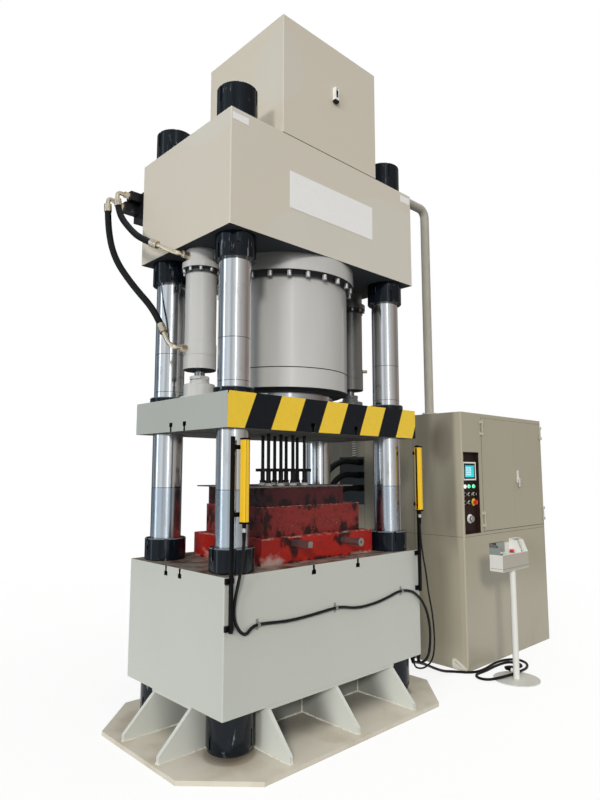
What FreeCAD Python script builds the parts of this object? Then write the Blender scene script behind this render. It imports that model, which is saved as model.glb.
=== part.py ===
import FreeCAD, Part
import math
import os
import Sketcher

# Four-column hydraulic press with its oil tank, power cabinet, two-hand desk and a die on the bed.
# Millimetres. +X runs right along the front, +Y to the back, +Z up. The origin lies on the floor,
# under the middle of the four columns.

SIZES = {
    # base and bed
    "base_length": 2150, "base_depth": 1434, "base_corner": 317, "base_thick": 25,
    "rib_thick": 25, "rib_reach_x": 1050, "rib_reach_y": 675, "rib_row_x": 540, "rib_row_y": 190,
    "rib_nose": 35, "support_thick": 20, "bed_bottom": 270,
    "bed_length": 1732, "bed_depth": 1010, "bed_height": 725, "edge_soft": 6,
    "tee_row_x": 200, "tee_row_y": 75, "tee_neck": 18, "tee_width": 36, "tee_neck_deep": 30,
    "tee_deep": 56,
    # columns and their nuts
    "column_gap_x": 1410, "column_gap_y": 710, "column_radius": 97.5, "column_foot": 40,
    "bed_nut_radius": 130, "bed_nut_high": 136, "foot_nut_high": 193,
    "crown_nut_radius": 125.5, "crown_nut_high": 155, "top_nut_high": 218, "slot_wide": 16,
    # slide
    "slide_length": 1714, "slide_depth": 1006, "slide_bottom": 1793, "slide_height": 203,
    "bush_radius": 112, "cap_radius": 122, "cap_high": 38,
    # crown and tank
    "crown_length": 1720, "crown_depth": 1002, "crown_bottom": 2951, "crown_height": 708,
    "tank_length": 906, "tank_depth": 800, "tank_high": 810,
    # cylinders
    "main_radius": 450, "main_flange_radius": 500, "main_flange_high": 114, "main_bore": 365,
    "ram_radius": 350, "gland_high": 131, "main_bottom": 2082,
    "return_row_x": 705, "return_radius": 98.5, "return_bottom": 2180, "rod_radius": 33,
    # cabinet
    "cabinet_left": 1513, "cabinet_length": 1423, "cabinet_front": -481, "cabinet_depth": 1581,
    "cabinet_high": 2041, "cabinet_split": 1030, "sheet": 4,
    "door_left_edge": 1822, "door_right_edge": 2910, "door_low": 1058, "door_top": 2008,
    "recess_left": 1530, "recess_right": 1775, "recess_low": 1050, "recess_top": 1712,
    "recess_deep": 32, "key_pitch": 72, "key_left": 1580, "cabinet_soft": 12,
    # two-hand desk
    "desk_x": 1634, "desk_y": -816, "desk_disc": 168, "desk_post": 23, "desk_low": 812,
    "desk_length": 408, "desk_depth": 106, "desk_high": 118,
    # die
    "die_left": -485, "die_right": 525, "die_half_depth": 352, "die_base_high": 155,
    "die_middle_high": 188, "die_top_high": 116, "die_sheet": 8, "tool_pitch": 106,
    "tool_radius": 11,
}

CLEAR = 0.3  # seat clearance left round a part that stands in a bore


class Size:
    """A length that carries its value and the spreadsheet expression it comes from."""

    def __init__(self, value, text):
        self.value, self.text = float(value), text

    def _with(self, other, sign, value, swapped=False):
        words = other.text if isinstance(other, Size) else repr(float(other))
        pair = (words, self.text) if swapped else (self.text, words)
        return Size(value, "(%s %s %s)" % (pair[0], sign, pair[1]))

    def __float__(self):
        return self.value

    def __neg__(self):
        return Size(-self.value, "(0 - %s)" % self.text)

    def __add__(self, other):
        return self._with(other, "+", self.value + float(other))

    def __radd__(self, other):
        return self._with(other, "+", float(other) + self.value, True)

    def __sub__(self, other):
        return self._with(other, "-", self.value - float(other))

    def __rsub__(self, other):
        return self._with(other, "-", float(other) - self.value, True)

    def __mul__(self, other):
        return self._with(other, "*", self.value * float(other))

    __rmul__ = __mul__

    def __truediv__(self, other):
        return self._with(other, "/", self.value / float(other))


class Table:
    """The sizes as attributes, each tied to its cell of the spreadsheet."""

    def __init__(self, sheet, sizes):
        for row, (word, value) in enumerate(sizes.items(), 1):
            sheet.set("A%d" % row, word)
            sheet.set("B%d" % row, str(value))
            sheet.setAlias("B%d" % row, word)
            setattr(self, word, Size(value, "sizes.%s" % word))


doc = FreeCAD.newDocument("press")
sheet = doc.addObject("Spreadsheet::Sheet", "sizes")
S = Table(sheet, SIZES)
doc.recompute()
NODES = []

# ---------------------------------------------------------------- small tools


def bind(item, prop, size):
    """Set a number property and, where the size has one, its expression."""
    if "." not in prop:
        setattr(item, prop, float(size))
    if isinstance(size, Size):
        item.setExpression(prop, size.text)


def place(item, x, y, z, turn=None):
    """Put an item at a point, with an optional (axis, degrees) turn."""
    spin = FreeCAD.Rotation(FreeCAD.Vector(*turn[0]), turn[1]) if turn else FreeCAD.Rotation()
    item.Placement = FreeCAD.Placement(FreeCAD.Vector(float(x), float(y), float(z)), spin)
    for axis, size in zip("xyz", (x, y, z)):
        bind(item, "Placement.Base." + axis, size)
    return item


def node(item, name):
    """Mark an item as a finished piece under the name of its file."""
    item.Label = name
    NODES.append(item)
    return item


def block(name, xs, ys, zs):
    """A box between two bounds on each axis."""
    item = doc.addObject("Part::Box", name)
    for prop, (low, high) in zip(("Length", "Width", "Height"), (xs, ys, zs)):
        bind(item, prop, high - low)
    return place(item, xs[0], ys[0], zs[0])


def drum(name, x, y, z, radius, high, axis="z"):
    """A cylinder that starts at a point and runs along an axis."""
    item = doc.addObject("Part::Cylinder", name)
    bind(item, "Radius", radius)
    bind(item, "Height", high)
    turn = {"z": None, "x": ((0, 1, 0), 90), "y": ((1, 0, 0), -90)}[axis]
    return place(item, x, y, z, turn)


def cut(name, base, tool):
    item = doc.addObject("Part::Cut", name)
    item.Base, item.Tool = base, tool
    return item


def fuse(name, items):
    item = doc.addObject("Part::MultiFuse", name)
    item.Shapes, item.Refine = items, True
    return item


def group(name, items):
    item = doc.addObject("Part::Compound", name)
    item.Links = items
    return item


def mirror(name, source, normal):
    item = doc.addObject("Part::Mirroring", name)
    item.Source, item.Normal = source, FreeCAD.Vector(*normal)
    return item


def pair(name, source):
    """The piece and its mirror image across the middle of the press."""
    return group(name, [source, mirror(name + "_right", source, (1, 0, 0))])


def four(name, source):
    """The piece at all four columns."""
    return pair(name, group(name + "_side", [source, mirror(name + "_back", source, (0, 1, 0))]))


def sketch_on(body, name, role, lift=0.0):
    """A sketch on one of the body's own origin planes, raised along its normal."""
    sketch = body.newObject("Sketcher::SketchObject", name)
    plane = [f for f in body.Origin.OriginFeatures if f.Role == role][0]
    sketch.AttachmentSupport = [(plane, "")]
    sketch.MapMode = "FlatFace"
    sketch.AttachmentOffset = FreeCAD.Placement(
        FreeCAD.Vector(0, 0, float(lift)), FreeCAD.Rotation())
    bind(sketch, "AttachmentOffset.Base.z", lift)
    return sketch


def hold(sketch, kind, at, size):
    """Tie one coordinate of a sketch point to a size."""
    index = sketch.addConstraint(Sketcher.Constraint(kind, -1, 1, at[0], at[1], float(size)))
    if isinstance(size, Size):
        sketch.setExpression("Constraints[%d]" % index, size.text)


def loop(sketch, corners):
    """A closed run of straight lines with each corner held in both directions."""
    first = sketch.GeometryCount
    count = len(corners)
    flat = [FreeCAD.Vector(float(x), float(y), 0) for x, y in corners]
    for i in range(count):
        sketch.addGeometry(Part.LineSegment(flat[i], flat[(i + 1) % count]))
    for i in range(count):
        after = first + (i + 1) % count
        sketch.addConstraint(Sketcher.Constraint("Coincident", first + i, 2, after, 1))
    for i, (x, y) in enumerate(corners):
        hold(sketch, "DistanceX", (first + i, 1), x)
        hold(sketch, "DistanceY", (first + i, 1), y)


def ring(sketch, x, y, radius):
    """A circle with its centre and radius held."""
    index = sketch.addGeometry(
        Part.Circle(FreeCAD.Vector(float(x), float(y), 0), FreeCAD.Vector(0, 0, 1), float(radius)))
    hold(sketch, "DistanceX", (index, 3), x)
    hold(sketch, "DistanceY", (index, 3), y)
    held = sketch.addConstraint(Sketcher.Constraint("Radius", index, float(radius)))
    if isinstance(radius, Size):
        sketch.setExpression("Constraints[%d]" % held, radius.text)


def padded(name, corners, low, high, holes=()):
    """A body padded upwards between two heights from an outline with round holes."""
    body = doc.addObject("PartDesign::Body", name)
    sketch = sketch_on(body, name + "_plan", "XY_Plane", low)
    loop(sketch, corners)
    for hole in holes:
        ring(sketch, *hole)
    pad = body.newObject("PartDesign::Pad", name + "_pad")
    pad.Profile = sketch
    bind(pad, "Length", high - low)
    return body


def pocket(body, name, role, corners, lift, deep, back=False):
    """A pocket cut into the body from a raised outline."""
    sketch = sketch_on(body, name + "_outline", role, lift)
    loop(sketch, corners)
    item = body.newObject("PartDesign::Pocket", name)
    item.Profile = sketch
    item.Reversed = back
    bind(item, "Length", deep)
    return item


def padded_back(name, corners, front, back):
    """A body padded between two depths from an outline of (x, z) corners."""
    body = doc.addObject("PartDesign::Body", name)
    sketch = sketch_on(body, name + "_front", "XZ_Plane", -back)
    loop(sketch, corners)
    pad = body.newObject("PartDesign::Pad", name + "_pad")
    pad.Profile = sketch
    bind(pad, "Length", back - front)
    return body


def drilled(body, name, role, spots, radius, lift, deep):
    """Round holes of one radius cut into the body from a raised plane."""
    sketch = sketch_on(body, name + "_rings", role, lift)
    for across, up in spots:
        ring(sketch, across, up, radius)
    item = body.newObject("PartDesign::Pocket", name)
    item.Profile = sketch
    bind(item, "Length", deep)
    return item


def softened(body, name, radius):
    """Round the four upright outer edges of a body."""
    doc.recompute()
    box = body.Shape.BoundBox
    names = []
    for i, edge in enumerate(body.Shape.Edges, 1):
        ends = [v.Point for v in edge.Vertexes]
        if len(ends) == 2 and abs(ends[0].z - ends[1].z) > 1:
            x, y = ends[0].x, ends[0].y
            if (abs(x - ends[1].x) + abs(y - ends[1].y) < 1e-6
                    and min(abs(x - box.XMin), abs(x - box.XMax)) < 1e-3
                    and min(abs(y - box.YMin), abs(y - box.YMax)) < 1e-3):
                names.append("Edge%d" % i)
    before = body.Tip
    item = body.newObject("PartDesign::Fillet", name)
    item.Base = (before, names)
    bind(item, "Radius", radius)
    return body


def turned(name, corners, x=0.0, y=0.0):
    """A body turned about a vertical axis from (radius, height) corners."""
    body = doc.addObject("PartDesign::Body", name)
    sketch = sketch_on(body, name + "_half", "XZ_Plane")
    loop(sketch, corners)
    spin = body.newObject("PartDesign::Revolution", name + "_turn")
    spin.Profile = sketch
    spin.ReferenceAxis = (sketch, ["V_Axis"])
    spin.Angle = 360
    return place(body, x, y, 0.0)


def tube(name, points, radius):
    """A round line along straight runs joined by tangent arcs."""
    way = [FreeCAD.Vector(*p) for p in points]
    edges, here = [], way[0]
    for before, corner, after in zip(way, way[1:], way[2:]):
        into, out = corner - before, after - corner
        half = into.getAngle(out) / 2
        if half < 1e-6:
            continue
        reach = 0.45 * min(into.Length, out.Length)
        into.normalize()
        out.normalize()
        start, end = corner - into * reach, corner + out * reach
        bend = reach / math.tan(half)
        middle = corner + (out - into).normalize() * (bend / math.cos(half) - bend)
        edges += [Part.makeLine(here, start), Part.Arc(start, middle, end).toShape()]
        print("%s arc radius %.0f" % (name, bend))
        here = end
    edges.append(Part.makeLine(here, way[-1]))
    spine = Part.Wire(edges)
    section = Part.Wire(Part.makeCircle(float(radius), way[0], way[1] - way[0]))
    shape = spine.makePipeShell([section], True, False)
    print("%s volume ratio %.4f" % (name, shape.Volume / (spine.Length * math.pi * radius ** 2)))
    item = doc.addObject("Part::Feature", name)
    item.Shape = shape
    return item


def rod(name, start, end, radius):
    """A round bar between two points."""
    first, last = FreeCAD.Vector(*start), FreeCAD.Vector(*end)
    item = doc.addObject("Part::Cylinder", name)
    bind(item, "Radius", radius)
    item.Height = (last - first).Length
    item.Placement = FreeCAD.Placement(
        first, FreeCAD.Rotation(FreeCAD.Vector(0, 0, 1), last - first))
    return item


def along(start, end, reach):
    """The point a way past the end of a line, in its own direction."""
    first, last = FreeCAD.Vector(*start), FreeCAD.Vector(*end)
    return tuple(last + (last - first).normalize() * reach)


def rectangle(xs, ys):
    return [(xs[0], ys[0]), (xs[1], ys[0]), (xs[1], ys[1]), (xs[0], ys[1])]


def centred(length):
    return (-length / 2, length / 2)


# ---------------------------------------------------------------- heights used more than once

bed_top = S.bed_bottom + S.bed_height
slide_top = S.slide_bottom + S.slide_height
crown_top = S.crown_bottom + S.crown_height
column_x, column_y = S.column_gap_x / 2, S.column_gap_y / 2
column_spots = [(i * column_x, j * column_y) for i in (-1, 1) for j in (-1, 1)]
bore = S.column_radius + CLEAR

# ---------------------------------------------------------------- base plate, ribs and bed

half_x, half_y, corner = S.base_length / 2, S.base_depth / 2, S.base_corner
node(padded("floor_plate", [
    (-half_x + corner, -half_y), (half_x - corner, -half_y), (half_x, -half_y + corner),
    (half_x, half_y - corner), (half_x - corner, half_y), (-half_x + corner, half_y),
    (-half_x, half_y - corner), (-half_x, -half_y + corner)],
    0.0, S.base_thick), "base_plate")

support_low = S.bed_bottom - S.support_thick


def rib(name, role, reach, top_half, row):
    """One upright rib with sloped ends, padded across its thickness."""
    body = doc.addObject("PartDesign::Body", name)
    sketch = sketch_on(body, name + "_side", role, row - S.rib_thick / 2)
    low, nose = S.base_thick, S.base_thick + S.rib_nose
    loop(sketch, [(-reach, low), (reach, low), (reach, nose), (top_half, support_low),
                  (-top_half, support_low), (-reach, nose)])
    pad = body.newObject("PartDesign::Pad", name + "_pad")
    pad.Profile = sketch
    bind(pad, "Length", S.rib_thick)
    return body


ribs = [rib("rib_along_%d" % i, "XZ_Plane", S.rib_reach_x, S.bed_length / 2 - 10, i * S.rib_row_y)
        for i in (-1, 1)]
ribs += [rib("rib_across_%d" % (i + 1), "YZ_Plane", S.rib_reach_y, S.bed_depth / 2 - 10,
             i * S.rib_row_x) for i in (-1, 0, 1)]
arm_x, arm_y = S.rib_row_x + 20, S.rib_row_y + 18
support = [block("support_long", centred(S.bed_length - 16), (-arm_y, arm_y),
                 (support_low, S.bed_bottom)),
           block("support_wide", (-arm_x, arm_x), centred(S.bed_depth - 14),
                 (support_low, S.bed_bottom))]
node(fuse("rib_frame", ribs + support), "base_ribs")


def tee_slots(body, name, top, side, length_x, length_y):
    """T-slots cut from one face of a plate: two along X and two along Y."""
    for role, row, span in (("XZ_Plane", S.tee_row_x, length_y), ("YZ_Plane", S.tee_row_y, length_x)):
        for i in (-1, 1):
            neck, wide = S.tee_neck / 2, S.tee_width / 2
            step, floor = top - side * S.tee_neck_deep, top - side * S.tee_deep
            middle = i * row
            pocket(body, "%s_%s_%d" % (name, role[:2], i + 1), role, [
                (middle - neck, top), (middle - neck, step), (middle - wide, step),
                (middle - wide, floor), (middle + wide, floor), (middle + wide, step),
                (middle + neck, step), (middle + neck, top)], span / 2 + 1, span + 2)


bed = padded("bed_block", rectangle(centred(S.bed_length), centred(S.bed_depth)),
             S.bed_bottom, bed_top, [(x, y, bore) for x, y in column_spots])
softened(bed, "bed_soft", S.edge_soft)
tee_slots(bed, "bed_tee", bed_top, 1, S.bed_length, S.bed_depth)
node(bed, "bed")

# ---------------------------------------------------------------- columns and nuts

column_top = crown_top + S.top_nut_high - 4
groove = 1.2


def groove_at(height, radius):
    """Corners of a fine ring line round a column."""
    return [(radius, height - 1.5), (radius - groove, height - 1.5),
            (radius - groove, height + 1.5), (radius, height + 1.5)]


column = turned("column_one", [(0.0, S.column_foot), (S.column_radius - 6, S.column_foot),
                (S.column_radius, S.column_foot + 6)]
                + groove_at(1450.0, S.column_radius) + groove_at(2323.0, S.column_radius)
                + [(S.column_radius, column_top - 5), (S.column_radius - 5, column_top),
                   (0.0, column_top)], -column_x, -column_y)
node(four("column_set", column), "columns")


def slotted_nut(name, low, high, radius, slots_low, slots_high):
    """A round nut with spanner slots round its rim."""
    rim = 5.0
    body = turned(name, [(bore, low), (radius - rim, low), (radius, low + rim),
                         (radius, high - rim), (radius - rim, high), (bore, high)],
                  -column_x, -column_y)
    cutter = pocket(body, name + "_slot", "XY_Plane",
                    rectangle((radius - 9, radius + 5), centred(S.slot_wide)),
                    slots_high, slots_high - slots_low)
    turns = body.newObject("PartDesign::PolarPattern", name + "_slots")
    turns.Originals = [cutter]
    turns.Axis = ([f for f in body.Origin.OriginFeatures if f.Role == "Z_Axis"][0], [""])
    turns.Angle = 360
    turns.Occurrences = 6
    body.Tip = turns
    return body


foot_low = S.bed_bottom - S.foot_nut_high
foot_nut = slotted_nut("foot_nut", foot_low, S.bed_bottom, S.bed_nut_radius,
                       foot_low - 1, foot_low + 95)
foot_ring = turned("foot_ring", [(bore, foot_low - 22), (S.bed_nut_radius - 12, foot_low - 22),
                   (S.bed_nut_radius - 8, foot_low - 18), (S.bed_nut_radius - 8, foot_low),
                   (bore, foot_low)], -column_x, -column_y)
bed_nut = slotted_nut("bed_nut", bed_top, bed_top + S.bed_nut_high, S.bed_nut_radius,
                      bed_top + 70, bed_top + S.bed_nut_high + 1)
node(four("low_nut_set", group("low_nut_stack", [foot_nut, foot_ring, bed_nut])), "bed_nuts")
crown_nut_low = S.crown_bottom - S.crown_nut_high
under_nut = slotted_nut("crown_nut", crown_nut_low, S.crown_bottom, S.crown_nut_radius,
                        crown_nut_low - 1, crown_nut_low + 85)
top_nut = slotted_nut("top_nut", crown_top, crown_top + S.top_nut_high, S.crown_nut_radius,
                      crown_top + 110, crown_top + S.top_nut_high + 1)
node(four("crown_nut_set", group("crown_nut_stack", [under_nut, top_nut])), "crown_nuts")

# ---------------------------------------------------------------- crown and oil tank

crown = padded("crown_block", rectangle(centred(S.crown_length), centred(S.crown_depth)),
               S.crown_bottom, crown_top, [(x, y, bore) for x, y in column_spots])
softened(crown, "crown_soft", S.edge_soft)
node(crown, "crown")

# bare plates riveted to the crown's front: a wide one in the middle and a small one at each end
plates = []
for i, (low_x, high_x, low_z, high_z) in enumerate([
        (-398.0, 398.0, S.crown_bottom + 236, S.crown_bottom + 476),
        (-848.0, -729.0, crown_top - 72, crown_top - 29),
        (738.0, 848.0, crown_top - 74, crown_top - 23)]):
    face = -S.crown_depth / 2
    rivets = [drum("plate_%d_rivet_%d%d" % (i, j, k), x, face - 3.5, z, 3.0, 2.5, "y")
              for j, x in enumerate((low_x + 9, high_x - 9))
              for k, z in enumerate((low_z + 9, high_z - 9))]
    plates.append(fuse("plate_%d" % i, [block(
        "plate_%d_sheet" % i, (low_x, high_x), (face - 1.5, face), (low_z, high_z))] + rivets))
node(group("crown_plate_set", plates), "crown_plates")

tank_front = -S.crown_depth / 2 + 4
tank_x = centred(S.tank_length)
tank_top = crown_top + S.tank_high
tank_body = padded("tank_body", rectangle(tank_x, (tank_front, tank_front + S.tank_depth)),
                   crown_top, tank_top)
softened(tank_body, "tank_soft", S.edge_soft)
node(tank_body, "oil_tank")

gauge_low = crown_top + 403
gauge_x = 20.0
gauge = cut("gauge_cut", block("gauge_case", (gauge_x - 20, gauge_x + 20),
            (tank_front - 26, tank_front), (gauge_low, gauge_low + 104)),
            block("gauge_window", (gauge_x - 9, gauge_x + 9), (tank_front - 30, tank_front - 18),
                  (gauge_low + 34, gauge_low + 84)))
pane = block("gauge_pane", (gauge_x - 8.7, gauge_x + 8.7), (tank_front - 22, tank_front - 18),
             (gauge_low + 34.3, gauge_low + 83.7))
node(group("gauge_set", [gauge, pane]), "level_gauge")

# ---------------------------------------------------------------- main cylinder and ram

flange_low = S.crown_bottom - S.main_flange_high
gland_top = S.main_bottom + S.gland_high
wiper_low = S.main_bottom - 16
node(turned("main_barrel", [
    (S.main_bore, gland_top), (S.main_radius, gland_top), (S.main_radius, flange_low),
    (S.main_flange_radius - 4, flange_low), (S.main_flange_radius, flange_low + 4),
    (S.main_flange_radius, S.crown_bottom), (0.0, S.crown_bottom),
    (0.0, S.crown_bottom - 45), (S.main_bore, S.crown_bottom - 45)]), "main_cylinder")
node(turned("main_gland", [
    (S.ram_radius + 0.1, wiper_low), (S.ram_radius + 60, wiper_low),
    (S.ram_radius + 60, S.main_bottom), (S.main_radius - 4, S.main_bottom),
    (S.main_radius, S.main_bottom + 4), (S.main_radius, gland_top),
    (S.ram_radius + 0.1, gland_top)]), "main_gland")
ram_top = S.crown_bottom - 111
node(turned("ram_body", [
    (0.0, slide_top), (S.ram_radius, slide_top), (S.ram_radius, ram_top - 8),
    (S.ram_radius - 8, ram_top), (S.ram_radius - 90, ram_top), (S.ram_radius - 90, slide_top + 120),
    (0.0, slide_top + 120)]), "main_ram")


def bolt_ring(name, x, y, circle, count, under, radius, high, start=0.0):
    """Socket-head screws hanging under a flange."""
    heads = []
    for i in range(count):
        angle = math.radians(start + 360.0 * i / count)
        across, along = math.cos(angle), math.sin(angle)
        head = drum("%s_%d" % (name, i), x + circle * across, y + circle * along,
                    under - high, radius, high)
        socket = drum("%s_socket_%d" % (name, i), x + circle * across, y + circle * along,
                      under - high - 1, radius * 0.55, high * 0.45)
        heads.append(cut("%s_head_%d" % (name, i), head, socket))
    return heads


main_heads = group("main_screws", bolt_ring(
    "main_screw", 0.0, 0.0, S.main_flange_radius - 24, 24, flange_low, 15.0, 36.0, 7.5))

# ---------------------------------------------------------------- return cylinders

flange_under = S.crown_bottom - 129
rod_top = S.crown_bottom - 160
shell = S.return_radius
return_tube = turned("return_tube", [
    (S.rod_radius + 0.1, S.return_bottom), (shell + 1, S.return_bottom),
    (shell + 4, S.return_bottom + 3), (shell + 4, S.return_bottom + 86),
    (shell + 2, S.return_bottom + 87), (shell + 2, S.return_bottom + 90),
    (shell + 4, S.return_bottom + 91), (shell + 4, S.return_bottom + 164),
    (shell, S.return_bottom + 166), (shell, flange_under), (shell + 25.5, flange_under),
    (shell + 25.5, flange_under + 40), (shell + 2, flange_under + 41), (shell + 2, S.crown_bottom),
    (0.0, S.crown_bottom), (0.0, S.crown_bottom - 55), (70.0, S.crown_bottom - 55),
    (70.0, S.return_bottom + 70), (S.rod_radius + 0.1, S.return_bottom + 70)],
    -S.return_row_x, 0.0)
node(pair("return_tubes", return_tube), "return_cylinders")
return_heads = group("return_heads", bolt_ring(
    "return_screw", -S.return_row_x, 0.0, shell + 13, 10, flange_under, 10.0, 22.0, 18.0))
node(group("screw_set", [main_heads, pair("return_screws", return_heads)]), "cylinder_screws")
return_rod = turned("return_rod", [
    (0.0, slide_top + 97), (S.rod_radius, slide_top + 97), (S.rod_radius, rod_top - 120),
    (69.9, rod_top - 120), (69.9, rod_top - 60), (S.rod_radius, rod_top - 60),
    (S.rod_radius, rod_top), (0.0, rod_top)], -S.return_row_x, 0.0)
node(pair("return_rod_pair", return_rod), "return_rods")
coupling = turned("rod_boss", [
    (0.0, slide_top), (122.0, slide_top), (122.0, slide_top + 14), (97.0, slide_top + 16),
    (97.0, slide_top + 90), (92.0, slide_top + 95), (61.0, slide_top + 95),
    (61.0, slide_top + 116), (56.0, slide_top + 119), (56.0, slide_top + 123),
    (61.0, slide_top + 126), (61.0, slide_top + 142), (57.0, slide_top + 146),
    (S.rod_radius + CLEAR, slide_top + 146), (S.rod_radius + CLEAR, slide_top + 97),
    (0.0, slide_top + 97)], -S.return_row_x, 0.0)
for i in (0, 1):
    pocket(coupling, "boss_flat_%d" % i, "XY_Plane", rectangle(
        (-70.0, 70.0), ((2 * i - 1) * 64.0 - 12, (2 * i - 1) * 64.0 + 12)),
        slide_top + 147, 24.0)
node(pair("boss_pair", coupling), "rod_couplings")

# ---------------------------------------------------------------- slide

slide = padded("slide_block", rectangle(centred(S.slide_length), centred(S.slide_depth)),
               S.slide_bottom, slide_top, [(x, y, S.bush_radius) for x, y in column_spots])
tee_slots(slide, "slide_tee", S.slide_bottom, -1, S.slide_length, S.slide_depth)
node(slide, "slide")
running = S.column_radius + 0.1
bush = turned("bush_one", [
    (running, S.slide_bottom + 6), (S.bush_radius, S.slide_bottom + 6), (S.bush_radius, slide_top),
    (running, slide_top)], -column_x, -column_y)
cap = turned("cap_one", [
    (S.column_radius + 1.5, slide_top), (S.cap_radius, slide_top),
    (S.cap_radius, slide_top + S.cap_high - 5), (S.cap_radius - 5, slide_top + S.cap_high),
    (S.column_radius + 1.5, slide_top + S.cap_high)], -column_x, -column_y)
node(four("bush_set", group("bush_stack", [bush, cap])), "guide_bushes")

# ---------------------------------------------------------------- die on the bed

die_y = (-S.die_half_depth, S.die_half_depth)
base_top = bed_top + S.die_base_high
middle_top = base_top + S.die_middle_high
top_top = middle_top + S.die_top_high
well_x, well_y = (-390.0, 250.0), (-240.0, 180.0)
node(padded("die_lower", rectangle((S.die_left, S.die_right), die_y), bed_top, base_top),
     "die_base")


def tier(name, xs, ys, low, high, label):
    """A die plate with the open well the tool rods drop into."""
    body = padded(name, rectangle(xs, ys), low, high)
    pocket(body, name + "_well", "XY_Plane", rectangle(well_x, well_y), high + 1, high - low + 2)
    return node(body, label)


tier("die_mid", (S.die_left + 55, S.die_right - 75), (-297.0, 292.0), base_top, middle_top,
     "die_middle")
tier("die_upper", (S.die_left + 65, S.die_right - 240), (-300.0, 285.0), middle_top, top_top,
     "die_top")
tool_x = [-302.0 + i * S.tool_pitch for i in range(4)]
tool_spots = [(x, -198.0) for x in tool_x] + [(x + 110, -10.0) for x in tool_x]
sheet_top = top_top + S.die_sheet
cover_holes = [(x, y, S.tool_radius + 2) for x, y in tool_spots]
node(padded("die_lid", rectangle((-505.0, 372.0), (-312.0, 300.0)), top_top, sheet_top,
            cover_holes), "die_cover")
bar_z, pin_z = bed_top + 120, bed_top + 102
node(group("die_lift_parts", [
    block("lift_bar", (-244.0, -208.0), (-die_y[1] - 150, -die_y[1]), (bar_z - 18, bar_z + 18)),
    fuse("lift_pin", [
        drum("pin_shank", 221.0, -die_y[1] - 150, pin_z, 22.0, 150.0, "y"),
        cut("pin_end", drum("pin_ring", 221.0, -die_y[1] - 165, pin_z, 27.0, 15.0, "y"),
            drum("pin_eye", 221.0, -die_y[1] - 166, pin_z, 9.0, 12.0, "y"))])]),
    "die_lifting_pins")

# sleeves stand on the cover, two guide bars lie on them and the rods of the slide run through
sleeve_low, sleeve_high = sheet_top + 34, sheet_top + 90
collars = [turned("collar_%d" % i, [
    (S.tool_radius + 0.6, sheet_top), (26.0, sheet_top), (26.0, sheet_top + 12),
    (20.0, sheet_top + 14), (20.0, sleeve_low), (S.tool_radius + 0.6, sleeve_low)], x, y)
    for i, (x, y) in enumerate(tool_spots)]
sleeves = [turned("sleeve_%d" % i, [
    (S.tool_radius + 0.6, sleeve_low), (15.0, sleeve_low), (15.0, sleeve_high),
    (S.tool_radius + 0.6, sleeve_high)], x, y) for i, (x, y) in enumerate(tool_spots)]
bars = []
for i in (0, 1):
    spots = tool_spots[4 * i:4 * i + 4]
    bars.append(padded("guide_bar_%d" % i, rectangle(
        (spots[0][0] - 45, spots[3][0] + 45), (spots[0][1] - 20, spots[0][1] + 20)),
        sleeve_high, sleeve_high + 20, [(x, y, S.tool_radius + 1) for x, y in spots]))
node(group("guide_set", collars + sleeves + bars), "rod_guides")
node(group("tool_rod_set", [drum("tool_rod_%d" % i, x, y, top_top - 20, S.tool_radius,
     S.slide_bottom - top_top + 20) for i, (x, y) in enumerate(tool_spots)]), "tool_rods")

# ---------------------------------------------------------------- valve block, hoses and fittings

rear = S.crown_depth / 2
valve_y = rear + 65
node(fuse("valve_parts", [
    block("valve_body", (-850.0, -640.0), (rear, rear + 150), (3300.0, 3490.0)),
    block("valve_spool_up", (-935.0, -850.0), (rear + 34, rear + 98), (3418.0, 3480.0)),
    block("valve_spool_low", (-955.0, -850.0), (rear + 74, rear + 140), (3346.0, 3410.0))]),
    "valve_block")
y_up, y_low = float(valve_y), float(valve_y) + 43
hose_r, pipe_r, sleeve_r = 21.5, 14.0, 24.5
short_head, short_first = (-1020.0, y_up, 3400.0), (-1016.0, y_up - 10, 3348.0)
long_head, long_first = (-1066.0, y_low, 3362.0), (-1066.0, y_low - 6, 3306.0)
long_last, long_tail = (-916.0, 128.0, 2462.0), (-914.0, 92.0, 2408.0)
short_last, short_tail = (-976.0, 170.0, 2993.0), (-957.0, 122.0, 2968.0)
side_low, side_top = -float(S.return_row_x) - 102.5, -float(S.return_row_x) - 100.5


def hex_nut(name, start, end, radius):
    """A six-sided union nut between two points."""
    first, last = FreeCAD.Vector(*start), FreeCAD.Vector(*end)
    item = doc.addObject("Part::Prism", name)
    item.Polygon, item.Circumradius, item.Height = 6, radius, (last - first).Length
    item.Placement = FreeCAD.Placement(
        first, FreeCAD.Rotation(FreeCAD.Vector(0, 0, 1), last - first))
    return item


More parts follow.
